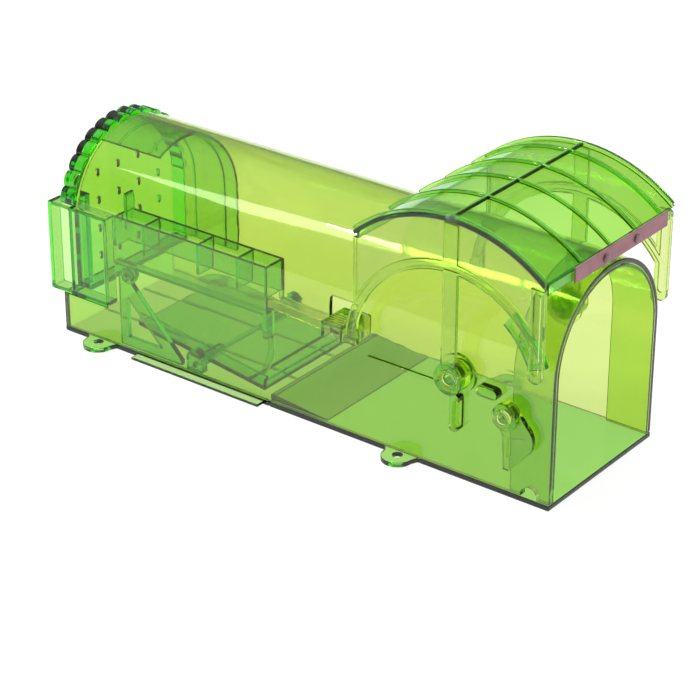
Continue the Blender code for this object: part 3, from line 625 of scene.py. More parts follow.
@dataclass
class Tunnel:
    """The arched shell with its pads, pegs, window and hatch opening, and the frosted lining at the mouth."""

    wall: float = 1.8 * MM
    length: float = 238 * MM
    lining_length: float = 18 * MM
    lining_wall: float = 1.1 * MM
    pad_radius: float = 7.8 * MM
    cap_front: float = 229.3 * MM
    pad_height: float = 1.3 * MM
    window_back: tuple[float, float] = (87.2 * MM, 100.2 * MM)
    window_z: tuple[float, float] = (42.4 * MM, 57 * MM)

    def pads(self) -> list[Shape]:
        """A low disc round each door pivot.

        Returns:
            Both discs.
        """
        centre = (DOOR.x, DOOR.z)
        shapes = []
        for side in (-1, 1):
            shapes.append(rod(self.pad_radius, centre, across(side, HALF - 1 * MM, HALF + self.pad_height)))
        return shapes

    def pegs(self) -> list[Shape]:
        """The stop pegs beside the door's hub and the long low rib between the window and the pad.

        Returns:
            The two pegs and the rib.
        """
        near = -HALF + 0.5 * MM
        short = slot_outline((behind(26.5 * MM), 41.4 * MM), 9.5 * MM, 4.4 * MM, False)
        long = slot_outline((DOOR.x, 28.7 * MM), 16 * MM, 4.6 * MM, True)
        rib_x = (behind(82 * MM), DOOR.x - self.pad_radius + 1 * MM)
        return [pulled(short, -38.6 * MM, near, Plane.SIDE, 0.5 * MM),
                pulled(long, -38.4 * MM, near, Plane.SIDE, 0.5 * MM),
                block(rib_x, (-HALF - 0.9 * MM, near), (36.3 * MM, 38 * MM))]

    def openings(self) -> list[Shape]:
        """The pin holes, catch window, hatch opening, notch, space for the cap, and the long peg's hollow.

        Returns:
            The shapes to cut.
        """
        both = (-HALF - 3 * MM, HALF + 3 * MM)
        near = (-HALF - 3 * MM, -HALF + 4 * MM)
        pawl = PIVOTS["pawl_swing"]
        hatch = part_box("side_hatch")
        hatch_x = (behind(self.length) - 2 * MM, hatch[1].x + 0.3 * MM)
        hatch_z = (hatch[0].z - 0.3 * MM, hatch[1].z + 0.3 * MM)
        window = box_outline(span(*self.window_back), self.window_z, 1 * MM)
        hollow = slot_outline((DOOR.x + 1 * MM, 28.2 * MM), 12 * MM, 2.6 * MM, True)
        return [rod(2.9 * MM, (DOOR.x, DOOR.z), both, 0), rod(2.3 * MM, (pawl.x, pawl.z), near, 0),
                pulled(window, *near, Plane.SIDE, 0), block(hatch_x, near, hatch_z, 0),
                rod(3.5 * MM, (behind(9 * MM), FOOT + 0.8 * MM), near, 0),
                block((behind(self.length + MM), behind(self.cap_front)), both, (hatch_z[0], TOP + MM), 0),
                pulled(hollow, -39.4 * MM, -36.2 * MM, Plane.SIDE, 0)]

    def build(self) -> None:
        """Makes the shell and the lining."""
        shell = pulled(arch_outline(HALF, self.wall, FOOT), *span(0, self.length), Plane.SECTION, 0.45 * MM)
        Moulding("shell_moulding", shell, self.pads() + self.pegs(), self.openings()).make(
            CLEAR, "housing", "tunnel_shell")
        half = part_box("mouth_collar")[1].y
        arch = arch_outline(half, self.lining_wall, FOOT)
        lining = pulled(arch, *span(0, self.lining_length), Plane.SECTION)
        notch = rod(3.5 * MM, (behind(9 * MM), FOOT + 0.8 * MM), (-HALF - MM, -HALF + 5 * MM), 0)
        Moulding("mouth_lining", lining, [], [notch]).make(
            FROSTED, "housing", "mouth_collar", slot="frosted_green_plastic")


@dataclass
class Floors:
    """The front floor, the rear tray and the ramp, with their eyelet lugs."""

    lug_radius: float = 6.4 * MM
    eyelet: float = 2.1 * MM
    lug_centre: float = 37.6 * MM
    lug_backs: tuple[float, float] = (66 * MM, 217.5 * MM)

    def lug(self, back: float, side: int, height: float) -> tuple[Shape, Shape]:
        """A rounded ear and its eyelet.

        Args:
            back: its distance behind the mouth.
            side: -1 for the near side, 1 for the far one.
            height: its thickness.

        Returns:
            The ear and the hole to cut in it.
        """
        x = behind(back)
        centre = (x, side * self.lug_centre)
        root = side * (HALF - 1 * MM)
        bend = arc(centre, self.lug_radius, 0, 180 * side, 28)
        ear = np.vstack([[(x + 1.25 * self.lug_radius, root)], bend, [(x - 1.25 * self.lug_radius, root)]])
        hole = pulled(circle(centre, self.eyelet), -MM, height + MM, Plane.PLAN, 0)
        return pulled(ear, 0, height, Plane.PLAN), hole

    def lugs(self, back: float) -> tuple[list[Shape], list[Shape]]:
        """Both ears of one floor and their eyelets.

        Args:
            back: their distance behind the mouth.

        Returns:
            The two ears, and the two holes.
        """
        pairs = [self.lug(back, side, 2 * MM) for side in (-1, 1)]
        return [pair[0] for pair in pairs], [pair[1] for pair in pairs]

    def build(self) -> None:
        """Makes the two floors and the ramp."""
        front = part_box("front_floor")
        ears, eyelets = self.lugs(self.lug_backs[0])
        # The floor plates' tint is partly painted light, set to offset the shade beneath them
        plate = block((front[0].x, front[1].x), (-HALF, HALF), (0, front[1].z))
        Moulding("front_floor_plate", plate, ears, eyelets).make(PLATE_SHADE_OFFSET, "housing", "front_floor")

        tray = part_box("rear_tray")
        tray_x = (tray[0].x, tray[1].x)
        plate = block(tray_x, (-HALF, HALF), (0, 1.5 * MM))
        ears, eyelets = self.lugs(self.lug_backs[1])
        skid = block(span(133 * MM, 199 * MM), (-38.5 * MM, 38.5 * MM), (0, 1.2 * MM))
        ledges = [block(tray_x, across(side, HALF - 1.9 * MM, HALF), (0, 2.2 * MM)) for side in (-1, 1)]
        sill = block((tray[0].x, tray[0].x + 1.6 * MM), (-32.9 * MM, 32.9 * MM), (0, tray[1].z))
        ribs = [block(span(132 * MM, 236 * MM), (y - 0.5 * MM, y + 0.5 * MM), (1 * MM, 2.3 * MM))
                for y in (-12 * MM, 12 * MM)]
        Moulding("rear_tray_moulding", plate, [skid, sill, *ledges, *ears, *ribs], eyelets).make(
            PLATE_SHADE_OFFSET, "housing", "rear_tray")

        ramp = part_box("floor_ramp")
        low, high = ramp[1].x, ramp[0].x
        wedge = [(high, ramp[0].z), (low, ramp[0].z), (low, ramp[0].z + 0.4 * MM), (high + 2 * MM, ramp[1].z),
                 (high, ramp[1].z)]
        shape = pulled(softened(np.array(wedge), 0.3 * MM), ramp[0].y, ramp[1].y, Plane.SIDE, 0.12 * MM)
        Moulding("ramp_wedge", shape).make(CLEAR, "housing", "floor_ramp")


# ---------------------------------------------------------------- door


@dataclass
class Door:
    """The swing door: a ribbed roof between two cheeks with arch rims, stiles, spokes and hubs."""

    roof_radius: float = 63.7 * MM
    roof_wall: float = 1.5 * MM
    rib_height: float = 1.27 * MM
    rib_width: float = 1.5 * MM
    half: float = 43 * MM
    front: float = 40.3 * MM
    rear: float = -42.9 * MM
    cheek_in: float = 41.3 * MM
    rim_in: float = 40.8 * MM
    rim_radius: float = 42.5 * MM
    rim_depth: float = 4 * MM
    spoke_width: float = 6.4 * MM
    hub_radius: float = 6.2 * MM
    ribs: tuple[float, ...] = (-20.4 * MM, -1.7 * MM, 15 * MM, 32.4 * MM)

    @property
    def centre(self) -> tuple[float, float]:
        """The pivot in X and Z."""
        return (DOOR.x, DOOR.z)

    def edge_angle(self, radius: float, reach: float) -> float:
        """The angle at which a circle about the pivot has reached that far in X."""
        return math.degrees(math.acos(reach / radius))

    def roof(self) -> None:
        """The bent sheet, its ribs along the bend, the ridge and the two turned-down lips."""
        inner = self.roof_radius - self.roof_wall
        start = self.edge_angle(self.roof_radius, self.front)
        end = self.edge_angle(self.roof_radius, self.rear)
        bend = sector(self.centre, inner, self.roof_radius, start, end, 72)
        sheet = pulled(bend, -self.half, self.half, Plane.SIDE)
        crest = self.roof_radius + self.rib_height
        bent = sector(self.centre, inner + 0.4 * MM, crest, start + 0.8, end - 0.8, 72)
        places = [*self.ribs, -self.half + 1.1 * MM, self.half - 1.1 * MM]
        joined = [pulled(bent, y - self.rib_width / 2, y + self.rib_width / 2, Plane.SIDE, 0.35 * MM)
                  for y in places]
        ridge_half = self.half - 0.4 * MM
        joined.append(block((DOOR.x - 0.9 * MM, DOOR.x + 0.9 * MM), (-ridge_half, ridge_half),
                            (DOOR.z + inner + 0.4 * MM, DOOR.z + crest - 0.2 * MM), 0.35 * MM))
        lip_half = self.rim_in - 0.3 * MM
        for reach, inward, depth in ((self.front, 1.7 * MM, 4.7 * MM), (self.rear, -1.6 * MM, 3.4 * MM)):
            top = DOOR.z + math.sqrt(self.roof_radius**2 - reach**2)
            near_edge = DOOR.x + reach - math.copysign(0.2 * MM, inward)
            lip_x = tuple(sorted((near_edge, DOOR.x + reach - inward)))
            joined.append(block(lip_x, (-lip_half, lip_half), (top - depth, top - 0.4 * MM)))
        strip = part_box("door_weight_strip")
        rivet_holes = []
        for node in ("strip_rivet_near", "strip_rivet_far"):
            low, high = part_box(node)
            hole = circle(((low.y + high.y) / 2, (low.z + high.z) / 2), 1.1 * MM, 24)
            rivet_holes.append(pulled(hole, low.x - 1 * MM, strip[0].x, Plane.SECTION, 0))
        Moulding("door_roof", sheet, joined, rivet_holes).make(DEEP, "door", "visor_roof")

    def cheek(self, side: int, node: str) -> None:
        """One side plate: the ring of plate under the roof, its arch rim, stiles, spoke, hub and rear foot.

        Args:
            side: -1 for the near side, 1 for the far one.
            node: the frame node it stands for.
        """
        x, z = self.centre
        outer = self.roof_radius - self.roof_wall - 0.3 * MM
        front, rear = self.front - 0.2 * MM, self.rear + 0.2 * MM
        inner = self.rim_radius + 0.2 * MM
        foot_front = self.edge_angle(inner, front - 0.4 * MM)
        foot_rear = 180 - math.degrees(math.asin(4 * MM / inner))
        crown = arc(self.centre, outer, self.edge_angle(outer, front), self.edge_angle(outer, rear), 64)
        plate = np.vstack([crown, [(x + rear, z + 3.8 * MM)],
                           arc(self.centre, inner, foot_rear, foot_front, 64),
                           [(x + front, z + inner * math.sin(math.radians(foot_front)))]])
        base = pulled(plate, *across(side, self.cheek_in + 0.1 * MM, self.half - 0.8 * MM), Plane.SIDE, 0)
        rim_start = self.edge_angle(self.rim_radius + self.rim_depth, front - 0.3 * MM)
        rim = sector(self.centre, self.rim_radius, self.rim_radius + self.rim_depth, rim_start,
                     foot_rear + 2, 60)
        groove = sector(self.centre, self.rim_radius + 1.1 * MM, self.rim_radius + self.rim_depth - 1.1 * MM,
                        rim_start + 3, foot_rear - 3, 60)
        joined = [pulled(rim, *across(side, self.rim_in, self.half - 0.1 * MM), Plane.SIDE)]
        stile_x = (x + front - 5.9 * MM, x + front - 0.15 * MM)
        top = z + math.sqrt(outer**2 - (stile_x[1] - x) ** 2) - 0.3 * MM
        bend = (stile_x[1] - stile_x[0]) / 2
        low_end = arc(((stile_x[0] + stile_x[1]) / 2, z + 10.3 * MM + bend), bend, 180, 360, 24)
        stile = np.vstack([[(stile_x[1], top), (stile_x[0], top)], low_end])
        joined.append(pulled(stile, *across(side, self.rim_in + 0.1 * MM, self.half), Plane.SIDE))
        half = self.spoke_width / 2
        spoke = box_outline((x - half, x + half), (z, z + outer - 0.3 * MM))
        joined.append(pulled(spoke, *across(side, self.rim_in + 0.2 * MM, self.half - 0.2 * MM), Plane.SIDE))
        foot = np.array([(-47.4, 0.5), (-41, 0.5), (-41, 7.5), (-44.2, 7.5), (-47.4, 4.4)]) * MM
        foot = foot + np.array([x, z])
        joined.append(pulled(softened(foot), *across(side, self.rim_in + 0.3 * MM, self.half - 0.15 * MM),
                             Plane.SIDE))
        joined.append(rod(self.hub_radius, self.centre, across(side, HALF + 1.6 * MM, self.half), 0.5 * MM))
        rear_post = box_outline((x + rear + 0.1 * MM, x + rear + 1.5 * MM), (z + 6 * MM, z + 45 * MM))
        joined.append(pulled(rear_post, *across(side, self.rim_in + 0.2 * MM, self.half - 0.2 * MM),
                             Plane.SIDE))
        slot_x = (stile_x[0] + stile_x[1]) / 2
        stile_groove = slot_outline((slot_x, (top + z + 12 * MM) / 2), top - z - 15 * MM, 2.8 * MM, True)
        cut = [rod(2.9 * MM, self.centre, across(side, HALF, self.half + 1 * MM), 0),
               rod(4.4 * MM, self.centre, across(side, self.half - 1.6 * MM, self.half + 1 * MM), 0),
               pulled(groove, *across(side, self.half - 0.8 * MM, self.half + 1 * MM), Plane.SIDE, 0),
               pulled(stile_groove, *across(side, self.half - 0.9 * MM, self.half + 1 * MM), Plane.SIDE, 0)]
        Moulding(node.replace("visor", "door"), base, joined, cut).make(CLEAR, "door", node)

    def striker(self) -> None:
        """The thick block clipped inside the near rim, with two pockets between webs."""
        low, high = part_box("lock_striker")[0].y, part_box("lock_striker")[1].y
        bar = pulled(sector(self.centre, 35.5 * MM, 43.5 * MM, 22, 52, 20), low, high, Plane.SIDE)
        pockets = [pulled(sector(self.centre, 37.2 * MM, 41.8 * MM, start, start + 11, 8), low - MM,
                          low + 1.1 * MM, Plane.SIDE, 0) for start in (25, 38.5)]
        Moulding("lock_block", bar, [], pockets).make(INNER, "door", "lock_striker")

    def strip(self) -> None:
        """The coated steel strip along the front lip and its two rivets."""
        low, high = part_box("door_weight_strip")
        plate = block((low.x, high.x), (low.y, high.y), (low.z, high.z), 0.15 * MM)
        holes = []
        for node in ("strip_rivet_near", "strip_rivet_far"):
            first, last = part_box(node)
            centre = ((first.y + last.y) / 2, (first.z + last.z) / 2)
            holes.append(pulled(circle(centre, 1.1 * MM, 24), low.x - MM, high.x + MM, Plane.SECTION, 0))
            head = last.x - high.x - 0.3 * MM
            length = last.x - first.x
            profile = rounded_profile([(0.8 * MM, 0), (0.8 * MM, length - head), (1.7 * MM, length - head),
                                       (1.5 * MM, length - 0.12 * MM), (0.5 * MM, length)], 0.1 * MM)
            shape = turned(profile, Vector((first.x, *centre)), Vector((1, 0, 0)), 32)
            piece = Moulding(node.replace("strip_rivet", "rivet"), shape)
            piece.make(RIVET, "door", node, slot="rivet_steel")
        Moulding("weight_strip", plate, [], holes).make(
            MAUVE, "door", "door_weight_strip", slot="coated_steel")

    def pin(self, side: int, node: str) -> None:
        """A pivot pin: flat inner head, shaft, and a dished snap head in the hub's counterbore.

        Args:
            side: -1 for the near side, 1 for the far one.
            node: the frame node it stands for.
        """
        inner = HALF - 2.1 * MM
        profile = [(1.2 * MM, inner - 1 * MM), (5 * MM, inner - 1 * MM), (5 * MM, inner), (2.6 * MM, inner),
                   (2.6 * MM, self.half - 1.3 * MM), (3.9 * MM, self.half - 1.3 * MM),
                   (3.6 * MM, self.half - 0.2 * MM), (2.3 * MM, self.half - 0.2 * MM),
                   (1.9 * MM, self.half - 1.4 * MM), (0.4 * MM, self.half - 1.4 * MM)]
        shape = turned(rounded_profile(profile, 0.2 * MM), Vector((DOOR.x, 0, DOOR.z)), Vector((0, side, 0)))
        Moulding(node + "_turned", shape).make(CLEAR, "housing", node)

    def build(self) -> None:
        """Makes the whole door and its pins."""
        self.roof()
        for side, word in ((-1, "near"), (1, "far")):
            self.cheek(side, "visor_cheek_" + word)
            self.pin(side, "door_pin_" + word)
        self.striker()
        self.strip()


# ---------------------------------------------------------------- pawl


@dataclass
class Pawl:
    """The hanging lock pawl beside the mouth and the pin it swings on."""

    hub: float = 5.4 * MM
    tail: float = 22.5 * MM

    def build(self) -> None:
        """Makes the pawl and its pin."""
        pivot = PIVOTS["pawl_swing"]
        x, z = pivot.x, pivot.z
        low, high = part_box("lock_pawl")
        tip = [(x - 2 * MM, z - 9 * MM), (x - 1.2 * MM, z - self.tail), (x + 1.2 * MM, z - self.tail)]
        outline = np.vstack([arc((x, z), self.hub - 0.3 * MM, 60, 200, 24), tip,
                             arc((x + 4 * MM, z - 8 * MM), 7.4 * MM, -40, 50, 20)])
        base = pulled(outline, -38 * MM, high.y, Plane.SIDE, 0.4 * MM)
        hub = rod(self.hub, (x, z), (low.y, high.y - 0.1 * MM), 0.5 * MM)
        web = np.array([(x + 0.4 * MM, z - 9 * MM), (x + 0.4 * MM, z - 17 * MM),
                        (x + 6.5 * MM, z - 11.5 * MM), (x + 8 * MM, z - 7 * MM)])
        cut = [rod(2.3 * MM, (x, z), (low.y - MM, high.y + MM), 0),
               pulled(softened(web, 1 * MM), -39 * MM, -37.2 * MM, Plane.SIDE, 0)]
        Moulding("pawl_moulding", base, [hub], cut).make(CLEAR, "pawl", "lock_pawl")
        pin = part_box("lock_pawl_pin")
        head = -low.y + 0.3 * MM
        start = -pin[1].y
        profile = [(0.8 * MM, start), (2 * MM, start), (2 * MM, head), (3.7 * MM, head),
                   (3.4 * MM, head + 1.2 * MM), (2.1 * MM, head + 1.2 * MM),
                   (1.7 * MM, head + 0.3 * MM), (0.4 * MM, head + 0.3 * MM)]
        shape = turned(rounded_profile(profile, 0.2 * MM), Vector((x, 0, z)), Vector((0, -1, 0)))
        Moulding("pawl_pin_turned", shape).make(CLEAR, "housing", "lock_pawl_pin")


# ---------------------------------------------------------------- trip lever


@dataclass
class TripLever:
    """The open channel with its webs, the two rails, the catch block, and the post that carries them."""

    back: tuple[float, float] = (133 * MM, 212.2 * MM)
    y: tuple[float, float] = (-31.3 * MM, -19.9 * MM)
    z: tuple[float, float] = (36.8 * MM, 57.4 * MM)
    far_z: float = 43.4 * MM
    wall: float = 1.4 * MM
    webs: tuple[float, ...] = (148 * MM, 168 * MM, 196 * MM)

    def channel(self) -> None:
        """Two long walls, cross webs, a narrow ledge, the legs, the pivot ear and the finger tab."""
        pivot = PIVOTS["lever_tilt"]
        x0, x1 = span(*self.back)
        near = (self.y[0], self.y[0] + self.wall)
        far = (self.y[1] - self.wall, self.y[1])
        inner_x = (x0 + 0.1 * MM, x1 - 0.1 * MM)
        joined = [block(inner_x, far, (self.far_z, self.z[1] - 0.1 * MM))]
        ends = (self.back[0] + 0.9 * MM, self.back[1] - 0.9 * MM)
        for place in (*self.webs, *ends):
            joined.append(block(span(place - 0.7 * MM, place + 0.7 * MM),
                                (self.y[0] + 0.1 * MM, self.y[1] - 0.1 * MM),
                                (self.far_z + 1 * MM, self.z[1] - 0.2 * MM)))
        joined.append(block(inner_x, (self.y[0] + 0.2 * MM, self.y[0] + 4.4 * MM),
                            (self.z[0] + 0.1 * MM, self.z[0] + 1.5 * MM)))
        joined.append(block(span(self.back[0] + 0.05 * MM, self.back[0] + 2.6 * MM),
                            (self.y[0] + 0.3 * MM, self.y[0] + 5 * MM), (26.8 * MM, self.z[0] + 2 * MM)))
        joined.append(block(span(self.back[0] + 0.05 * MM, self.back[0] + 2 * MM),
                            (far[0] + 0.1 * MM, far[1] - 0.1 * MM), (self.far_z - 3 * MM, 50 * MM)))
        ear = np.vstack([[(pivot.x - 4 * MM, self.z[0] + MM)],
                         arc((pivot.x, pivot.z), 3.4 * MM, 180, 360, 24),
                         [(pivot.x + 4 * MM, self.z[0] + MM)]])
        joined.append(pulled(ear, -29 * MM, -27.2 * MM, Plane.SIDE))
        rear, front = span(self.back[1] - 2.6 * MM, self.back[1] - 0.8 * MM)
        tab = [(rear, 50 * MM), (front, 50 * MM), (front, 63 * MM), (rear + 1.1 * MM, 65 * MM),
               (rear, 65 * MM)]
        joined.append(pulled(softened(np.array(tab)), -25 * MM, self.y[1] - 0.2 * MM, Plane.SIDE))
        hole = rod(1.8 * MM, (pivot.x, pivot.z), (-31 * MM, -25 * MM), 0)
        base = block((x0, x1), near, self.z)
        Moulding("lever_channel", base, joined, [hole]).make(INNER, "lever", "trip_lever")

    def rails(self) -> None:
        """Two bars that carry the catch, each a little lower at the front."""
        for word in ("near", "far"):
            low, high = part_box("lever_rail_" + word)
            depth = 3.4 * MM
            bar = [(low.x, high.z - depth), (high.x, low.z), (high.x, low.z + depth), (low.x, high.z)]
            shape = pulled(softened(np.array(bar)), low.y, high.y, Plane.SIDE)
            # The rails' nearly colourless tint is a painted highlight standing in for their bright reflections
            Moulding("rail_" + word, shape).make(RAIL_PAINTED_HIGHLIGHT, "lever", "lever_rail_" + word)

    def catch(self) -> None:
        """The block at the rails' front end, with the grooved finger that reaches through the window."""
        low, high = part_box("catch_head")
        body = block((low.x, low.x + 9.5 * MM), (self.y[0], high.y), (38.6 * MM, 47 * MM), 0.6 * MM)
        finger_x = (low.x + 1 * MM, high.x)
        finger = block(finger_x, (low.y, self.y[0] + 3 * MM), (43.4 * MM, high.z), 0.4 * MM)
        grooves = [block((finger_x[0] - MM, high.x + MM), (y - 0.35 * MM, y + 0.35 * MM),
                         (high.z - 0.8 * MM, high.z + MM), 0.1 * MM)
                   for y in np.arange(low.y + 1.4 * MM, -33.6 * MM, 1.5 * MM)]
        middle = ((self.y[0] + high.y) / 2, 42.8 * MM)
        for y, z in ((middle[0] - 2.7 * MM, 42.8 * MM), (middle[0] + 2.7 * MM, 42.8 * MM)):
            grooves.append(block((low.x + 1.2 * MM, low.x + 8.3 * MM), (y - 2 * MM, y + 2 * MM),
                                 (38 * MM, z + 3 * MM), 0.2 * MM))
        grooves.append(block((finger_x[0] + 1.3 * MM, high.x - 1.3 * MM),
                             (low.y + 1.3 * MM, self.y[0] - 0.6 * MM), (43 * MM, high.z - 1.6 * MM), 0.2 * MM))
        Moulding("catch_block", body, [finger], grooves).make(CLEAR, "lever", "catch_head")

    def post(self) -> None:
        """The bracket with its diagonal web, open between post and web, and the pin through its head."""
        pivot = PIVOTS["lever_tilt"]
        low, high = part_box("lever_bracket")
        x, bed = pivot.x, low.z
        outline = np.vstack([[(x - 3.4 * MM, bed), (x + 29 * MM, bed), (x + 29 * MM, bed + 2 * MM),
                              (x + 3.4 * MM, pivot.z - 2 * MM)], arc((x, pivot.z), 3.4 * MM, 0, 180, 24)])
        window = np.array([(x + 0.6 * MM, bed + 4 * MM), (x + 19 * MM, bed + 4 * MM),
                           (x + 0.6 * MM, 24 * MM)])
        cut = [rod(1.8 * MM, (x, pivot.z), (-34 * MM, -28 * MM), 0),
               pulled(softened(window, 0.8 * MM), -34 * MM, -28 * MM, Plane.SIDE, 0)]
        Moulding("lever_post", pulled(outline, low.y, high.y, Plane.SIDE), [], cut).make(
            INNER, "housing", "lever_bracket")
        profile = [(0.6 * MM, 25.6 * MM), (2.4 * MM, 25.6 * MM), (2.4 * MM, 26.9 * MM), (1.5 * MM, 26.9 * MM),
                   (1.5 * MM, 32.1 * MM), (1.2 * MM, 32.3 * MM)]
        shape = turned(rounded_profile(profile, 0.15 * MM), Vector((x, 0, pivot.z)), Vector((0, -1, 0)), 32)
        Moulding("lever_pin_turned", shape).make(INNER, "housing", "lever_pin")

    def build(self) -> None:
        """Makes the lever and its post."""
        self.channel()
        self.rails()
        self.catch()
        self.post()


# ---------------------------------------------------------------- treadle


@dataclass
class Treadle:
    """The tipping platform, its finger, its rod and the two bearing blocks."""

    slope: float = 7.5
    reach: tuple[float, float] = (-33.5 * MM, 33 * MM)
    half: float = 28 * MM
    wall: float = 1.4 * MM
    base: float = 1.9 * MM

    def sloped(self, points: np.ndarray) -> np.ndarray:
        """Turns points of the level treadle by its slope: x + u cos s + w sin s, z - u sin s + w cos s.

        Args:
            points: (u, w) pairs, along and up from the pivot.

        Returns:
            The points in X and Z.
        """
        pivot = PIVOTS["treadle_tilt"]
        s = math.radians(self.slope)
        along, up = np.asarray(points, float).T
        return np.column_stack([pivot.x + along * math.cos(s) + up * math.sin(s),
                                pivot.z - along * math.sin(s) + up * math.cos(s)])

    def slab(self, along: tuple[float, float], up: tuple[float, float], y: tuple[float, float]) -> Shape:
        """A rounded box that lies with the platform."""
        return pulled(self.sloped(box_outline(along, up)), y[0], y[1], Plane.SIDE)

    def build(self) -> None:
        """Makes the platform, finger, rod and blocks."""
        pivot = PIVOTS["treadle_tilt"]
        r0, r1 = self.reach
        low, inner = self.base, 0.1 * MM
        deck = self.slab(self.reach, (low, low + self.wall), (-self.half, self.half))
        joined = [self.slab((r0 + inner, r1 - inner), (low + inner, low + 6.4 * MM),
                            (-self.half + inner, -self.half + 1.5 * MM)),
                  self.slab((r1 - 1.6 * MM, r1 - 0.05 * MM), (low + 0.05 * MM, low + 4.6 * MM),
                            (-self.half + 0.05 * MM, self.half - inner)),
                  self.slab((r1 - 9 * MM, r1 - 7.5 * MM), (low + 0.9 * MM, low + 2.6 * MM),
                            (-self.half + MM, self.half - MM))]
        for y in (-20 * MM, 20 * MM):
            joined.append(rod(2.3 * MM, (pivot.x, pivot.z), (y - 5 * MM, y + 5 * MM)))
        bore = rod(1.4 * MM, (pivot.x, pivot.z), (-self.half - MM, self.half + MM), 0)
        Moulding("treadle_platform", deck, joined, [bore]).make(INNER, "treadle", "treadle")
        rod_low, rod_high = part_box("treadle_axle")
        Moulding("treadle_rod", rod(1.1 * MM, (pivot.x, pivot.z), (rod_low.y, rod_high.y), 0.2 * MM)).make(
            INNER, "housing", "treadle_axle")
        for word, side in (("near", -1), ("far", 1)):
            first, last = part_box("treadle_bearing_" + word)
            x, bed = pivot.x, first.z
            outline = np.vstack([[(x - 4 * MM, bed), (x + 4 * MM, bed)],
                                 arc((x, 7 * MM), 4 * MM, 0, 180, 24)])
            hole = rod(1.4 * MM, (x, pivot.z), across(side, self.half - MM, 31.7 * MM), 0)
            Moulding("rod_block_" + word, pulled(outline, first.y, last.y, Plane.SIDE), [], [hole]).make(
                INNER, "housing", "treadle_bearing_" + word)
        self.finger()

    def finger(self) -> None:
        """An upright that leans and bows forward: middle + lean t + bow sin(pi t), t from foot to top."""
        first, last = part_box("treadle_finger")
        foot = self.sloped(np.array([(self.reach[1] - 2.4 * MM, self.base + 6.7 * MM)]))[0]
        t = np.linspace(0, 1, 25)
        height = foot[1] + (last.z - foot[1]) * t
        middle = foot[0] + 4.3 * MM * t
        bow = 2.2 * MM * np.sin(np.pi * t)
        front = np.column_stack([middle + 1.2 * MM + bow, height])
        rear = np.column_stack([middle - 1.2 * MM + 0.7 * bow, height])
        shape = pulled(np.vstack([front, rear[::-1]]), first.y, last.y, Plane.SIDE, 0.3 * MM)
        Moulding("treadle_upright", shape).make(INNER, "treadle", "treadle_finger")


# ---------------------------------------------------------------- rear end


